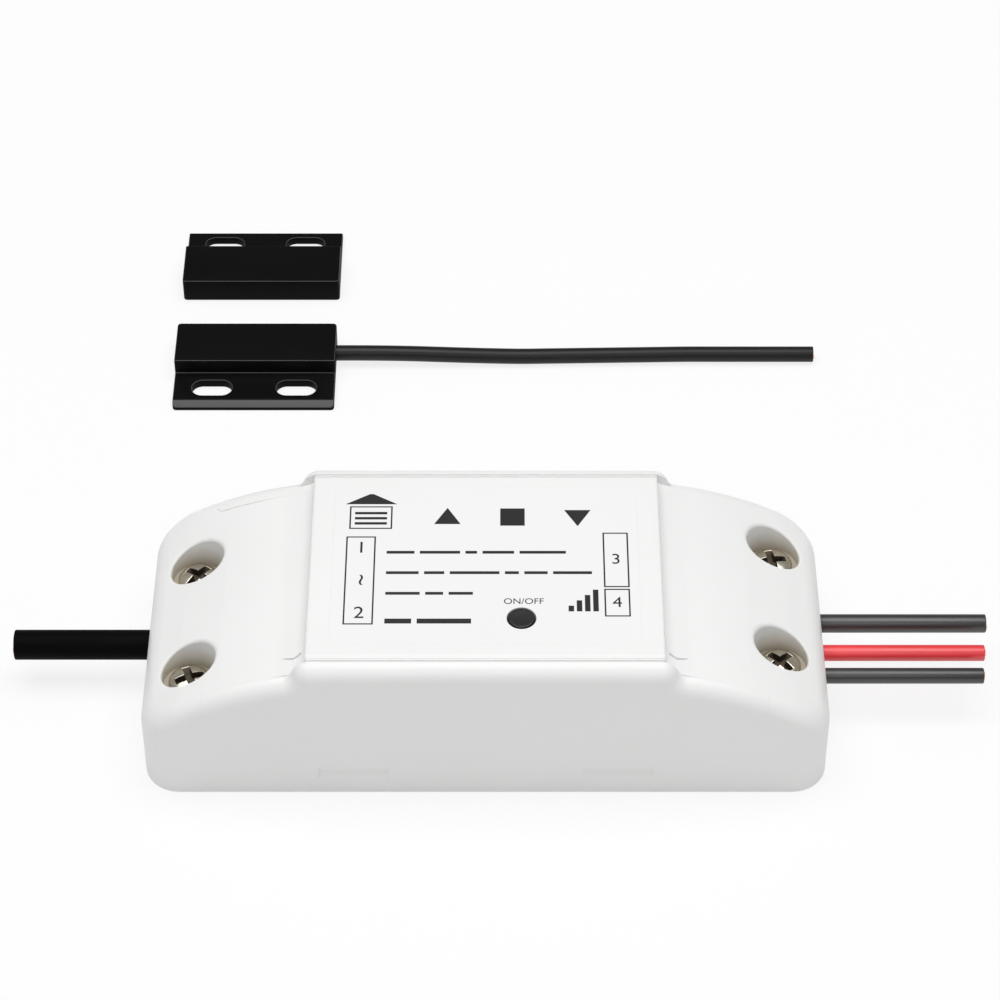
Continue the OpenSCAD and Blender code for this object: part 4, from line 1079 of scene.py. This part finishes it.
# End covers: two equal white mouldings, turned half a turn, that close the ends over the terminals.
# Each is a curved plate with a tongue between the rails and two deep wells for its screws.
cover_t = 1.8
cover_gap = 0.01
tongue_start = lid_high.x + 0.02
well_r = 3.55
well_edge_r = 0.5
well_edge_steps = 6
mouth_lap = 0.1
boss_r = well_r + 1.2
shank_hole_r = 1.3
# Height over the well floor over which the painted shade and reflection fade out.
painted_shade_rise = 3.4
seam_y = 15.7
seam_r = 0.12
seam_sink = 0.16
seam_line = ((26.6, 0, 0.08), (29.5, 0, 0), (32.5, 0, 0), (35.4, 0, 0), (36.1, 0.8, 0.02))
corner_plan = ((25.9, -13.96), (24.2, -14.35), (23.3, -13.8), (23.25, -14.1), (24.05, -14.85))
corner_sink = 0.35
screw_spots = [(side * well_x, -side * y) for side in (-1, 1) for y in well_ys]


def blend_in(tree, shader, mask, colour):
    """Let a colour take the place of a shader's own where a mask is one."""
    own = shader.inputs["Base Color"].links[0].from_socket
    tree.links.new(mixed(tree, mask, own, [*colour, 1]), shader.inputs["Base Color"])


def paint_well_shade(colour):
    """The case's white with painted shade and a painted reflection of the nickel screws' brown, stronger
    towards the foot of their wells.
    """
    material, shader = grained("paint_well_shade", **case_finish)
    tree = material.node_tree
    parts = tree.nodes.new("ShaderNodeSeparateXYZ")
    lay_on_piece(tree, parts)
    deep = ramp(tree, parts.outputs["Z"], well_z * MM, (well_z + painted_shade_rise) * MM, 1, 0)
    blend_in(tree, shader, deep, colour)
    return material


def cover_height(x):
    """Height over the table of a cover's top, along its curve or up the hollow of its tongue."""
    if x > tongue_foot:
        return arc_height(x)
    return hollow_z - math.sqrt(hollow_r ** 2 - (hollow_x - x) ** 2)


def screw_reach(spot):
    """Distance in plan from a point to the nearest cover screw."""
    return min((spot.xy - Vector(centre)).length for centre in screw_spots)


def in_well(spot):
    """True for a place on the wall or the floor of a screw well."""
    return screw_reach(spot) < well_r + overlap and spot.z > well_z - overlap


def colour_where(obj, material, picks):
    """Give a finished piece a second material where a rule picks the middle of a face."""
    obj.data.materials.append(material)
    for face in obj.data.polygons:
        if picks(face.center / MM):
            face.material_index = 1


def well_cutter(y):
    """A cutter for a screw well whose mouth runs out in a fillet along the curved top."""
    outline = [(0, -beyond), (well_r, -beyond)]
    for step in range(well_edge_steps + 1):
        turn = math.pi / 2 * step / well_edge_steps
        outline.append((well_r + well_edge_r * (1 - math.cos(turn)), well_edge_r * (math.sin(turn) - 1)))
    mouth_r = well_r + (1 + mouth_lap) * well_edge_r
    cutter = turned("well", outline + [(mouth_r, mouth_lap * well_edge_r), (mouth_r, beyond), (0, beyond)])
    cutter.data.transform(Matrix.Translation((well_x, y, 0)))
    for vert in cutter.data.vertices:
        on_floor = vert.co.z < -2 * well_edge_r
        vert.co.z = well_z if on_floor else vert.co.z + arc_height(vert.co.x)
    return cutter


def end_cover(name):
    """The cover of the right-hand end, before its lead holes."""
    cover = case_form(name, False)
    carve(cover, stand("lid_side", block((-far_x, -far_y, -beyond), (tongue_start, far_y, roof))))
    carve(cover, stand("under", block((0, -far_y, -beyond), (far_x, far_y, parting_z + cover_gap))))
    for side in (-1, 1):
        ys = sorted((side * (inner_y - cover_gap), side * far_y))
        carve(cover, stand("rail_side", block((0, ys[0], 0), (kink_x + cover_gap, ys[1], roof))))
    inside = stand("inside", arc_drum(arc_r - cover_t))
    room = block((0, -inner_y, -beyond), (inner_x, inner_y, roof), inner_corner_r)
    carve(inside, stand("room", room), operation="INTERSECT")
    below = stand("below", arc_drum(arc_r - shoulder_r + cover_gap))
    end_room = block((kink_x, -far_y, -beyond), (inner_x + cover_gap, far_y, roof))
    carve(below, stand("end_room", end_room), operation="INTERSECT")
    carve(cover, inside, below)
    for y in well_ys:
        boss = stand("boss", upright_rod(well_x, -y, boss_z, roof, boss_r))
        carve(boss, stand("boss_top", arc_drum(arc_r - cover_t / 2)), operation="INTERSECT")
        carve(cover, boss, operation="UNION")
    for y in well_ys:
        carve(cover, well_cutter(-y))
        carve(cover, stand("shank_hole", upright_rod(well_x, -y, 0, roof, shank_hole_r)))
    return cover


# The covers' wells get painted shade and a painted brown reflection of the screws.
well_painted_shade = paint_well_shade((0.5, 0.455, 0.375))
for side, name, node in ((-1, "input_cover", "input_end_cover"), (1, "output_cover", "output_end_cover")):
    cover = end_cover(name)
    if side < 0:
        cover.data.transform(Matrix.Rotation(math.pi, 4, "Z"))
    for low, high in leads.values():
        if low.x * side > 0:
            carve(cover, lead_hole(low, high))
    gap = bmesh.new()
    floor = [gap.verts.new((side * x, y, cover_height(x) - corner_sink)) for x, y in corner_plan]
    gap.faces.new(floor)
    thicken(gap, (0, 0, beyond))
    carve(cover, stand("corner_gap", gap))
    if side < 0:
        lift = seam_r - seam_sink
        seam = [Vector((-x, seam_y + out, cover_height(x) + lift + fade)) for x, out, fade in seam_line]
        for start, end in zip(seam, seam[1:]):
            lap = (end - start).normalized() * seam_r
            carve(cover, stand("seam", rod(start - lap, end + lap, seam_r)))
    hand_over(cover, case_white, "controller", "case_white", node, smooth=case_smooth)
    colour_where(cover, well_painted_shade, in_well)


# Cover screws: four nickel-plated self-tapping screws with pan heads and cross recesses.
# Each sits in its well and cuts its thread in a post of the base.
nickel = metal("nickel", (0.72, 0.66, 0.55), 0.24, change=0.12)
head_r = 2.75
head_h = 1.7
crown_r = 2 * head_r
crown_reach = 0.93 * head_r
crown_steps = 6
rim_drop = 0.3
screw_steps = 56
screw_smooth = 40
shank_r = 1.1
root_r = 0.85
shank_l = 6.6
thread_pitch = 0.9
thread_turns = 5
wing = Vector((3.3, 0.6, 1.15))
wing_taper = Vector((0.4, 0.7, 1))
wing_edge_r = 0.05
wing_edge_steps = 2
recess_fold = 0.6
recess_foot = head_h / 5
recess_turns = (0.35, 0.95, 0.2, 0.75)
recess_lip = 0.06


def crown_height(r):
    """Height of a head's domed top over its underside at some distance from the middle."""
    return head_h - crown_r + math.sqrt(crown_r ** 2 - r ** 2)


def in_recess(spot):
    """True for a place within a screw's cross recess."""
    r = screw_reach(spot)
    return r < crown_reach and recess_foot < spot.z - well_z < crown_height(r) - recess_lip


def is_recess_edge(edge):
    """True for the sharp edges of a screw's cross recess."""
    return edge.calc_face_angle() > recess_fold and min(v.co.z for v in edge.verts) > head_h / 3


def cover_screw():
    """A screw that stands at the origin on the underside of its head."""
    outline = []
    for step in range(crown_steps + 1):
        r = crown_reach * step / crown_steps
        outline.append((r, crown_height(r)))
    outline += [(head_r, crown_height(crown_reach) - rim_drop), (head_r, rim_drop / 2)]
    outline += [(head_r - rim_drop / 2, 0), (shank_r, 0)]
    for turn in range(thread_turns):
        outline += [(root_r, -thread_pitch * (turn + 0.5)), (shank_r, -thread_pitch * (turn + 1))]
    outline += [(root_r, -thread_pitch * (thread_turns + 0.5)), (0, -shank_l)]
    screw = turned("screw", outline, screw_steps)
    for turn in (0, math.pi / 2):
        cut = block((-wing.x, -wing.y, head_h - wing.z), (wing.x, wing.y, head_h + wing.z))
        foot = [v for v in cut.verts if v.co.z < head_h]
        bmesh.ops.scale(cut, vec=wing_taper, verts=foot)
        bmesh.ops.rotate(cut, verts=cut.verts[:], cent=(0, 0, 0), matrix=Matrix.Rotation(turn, 3, "Z"))
        carve(screw, stand("recess", cut))
    return round_where(screw, wing_edge_r, wing_edge_steps, is_recess_edge)


screws = bmesh.new()
for (x, y), turn in zip(screw_spots, recess_turns):
    screw = cover_screw()
    screw.data.transform(turned_at(x, y, well_z, turn))
    screws.from_mesh(screw.data)
    bpy.data.objects.remove(screw)
cover_screws = stand("cover_screws", screws)
hand_over(cover_screws, nickel, "controller", "screw_nickel", "end_cover_screws", smooth=screw_smooth)
# Painted shade: the cross recesses get a dark brown metal.
colour_where(cover_screws, metal("recess_painted_shade", (0.12, 0.1, 0.075), 0.5), in_recess)


# Sensor halves: two black moulded housings, one with the reed switch and its cable, one with the magnet.
# Each is a block with a low flange that has two slots for screws, filled with potting resin from below.
# Slants over which the painted highlight on the sensor housings fades in.
highlight_slants = (0.16, 0.25)


def paint_edge_highlight(material, shader, colour):
    """Paint a paler colour on slanting faces and rounded edges, as a painted highlight that peaks at half
    slant.
    """
    tree = material.node_tree
    surface = tree.nodes.new("ShaderNodeNewGeometry")
    parts = tree.nodes.new("ShaderNodeSeparateXYZ")
    tree.links.new(surface.outputs["Normal"], parts.inputs["Vector"])
    level = math_node(tree, "MULTIPLY", parts.outputs["Z"], parts.outputs["Z"])
    slant = math_node(tree, "MULTIPLY", level, math_node(tree, "SUBTRACT", 1, level))
    blend_in(tree, shader, ramp(tree, slant, *highlight_slants), colour)


sensor_black, sensor_shader = grained(
    "sensor_black", (0.003, 0.003, 0.003), 0.5, change=0.15, skin=2600, depth=0.012, flow=70
)
sensor_shader.inputs["Specular IOR Level"].default_value = 0.06
# The housings' slanting faces and rounded edges get a painted grey highlight.
paint_edge_highlight(sensor_black, sensor_shader, (0.12, 0.12, 0.12))
potting_resin = moulded("potting_resin", (0.01, 0.01, 0.011), 0.25, change=0.2, skin=500, depth=0.03)
magnet_grey = metal("magnet_grey", (0.2, 0.2, 0.21), 0.55)
block_w = 8.3
flange_t = 1.4
flange_bevel = 0.9
slot_l = 5.9
slot_w = 3.2
slot_pitch = 12.3
slot_edge = 3.5
sensor_wall = 0.9
sensor_corner_r = 0.5
sensor_corner_steps = 4
sensor_edge_r = 0.18
slot_end_r = slot_w / 2 - 0.005
slot_steps = 10


def sensor_half(name, node, away):
    """A housing whose flange lies away from the other half, in front or behind."""
    low, high = box_mm(node)
    depth = high.y - low.y
    half_l = (high.x - low.x) / 2
    bm = bmesh.new()
    first = bm.verts.new((0, -half_l, 0))
    vert = first
    for x, z in ((0, high.z), (block_w, high.z), (block_w, flange_t), (depth - flange_bevel, flange_t),
                 (depth, flange_t - flange_bevel), (depth, 0)):
        vert = draw_line(bm, vert, x, z)
    close_outline(bm, first, vert, 2 * half_l)
    housing = stand(name, bm)
    top = high.z + margin
    plan = block((0, -half_l, -margin), (depth, half_l, top), sensor_corner_r, sensor_corner_steps)
    carve(housing, stand("plan", plan), operation="INTERSECT")
    for side in (-1, 1):
        spot = Vector((depth - slot_edge, side * slot_pitch / 2, 0))
        reach = Vector((slot_w / 2, slot_l / 2, flange_t + margin))
        slot = block((spot.x - reach.x, spot.y - reach.y, -margin), spot + reach, slot_end_r, slot_steps)
        carve(housing, stand("slot", slot))
    pocket = block((sensor_wall, sensor_wall - half_l, -margin),
                   (block_w - sensor_wall, half_l - sensor_wall, high.z - sensor_wall))
    carve(housing, stand("pocket", pocket))
    soften(housing, sensor_edge_r)
    back_y = low.y if away > 0 else high.y
    housing.data.transform(turned_at((low.x + high.x) / 2, back_y, 0, away * math.pi / 2))
    return housing


reed_half = sensor_half("reed_moulding", "reed_housing", -1)
hand_over(reed_half, sensor_black, "controller", "sensor_black", "reed_housing")
magnet_half = sensor_half("magnet_moulding", "magnet_housing", 1)
hand_over(magnet_half, sensor_black, "magnet", "sensor_black", "magnet_housing")
finish(potting_resin, "reed_potting", "magnet_potting")
finish(magnet_grey, "bar_magnet")
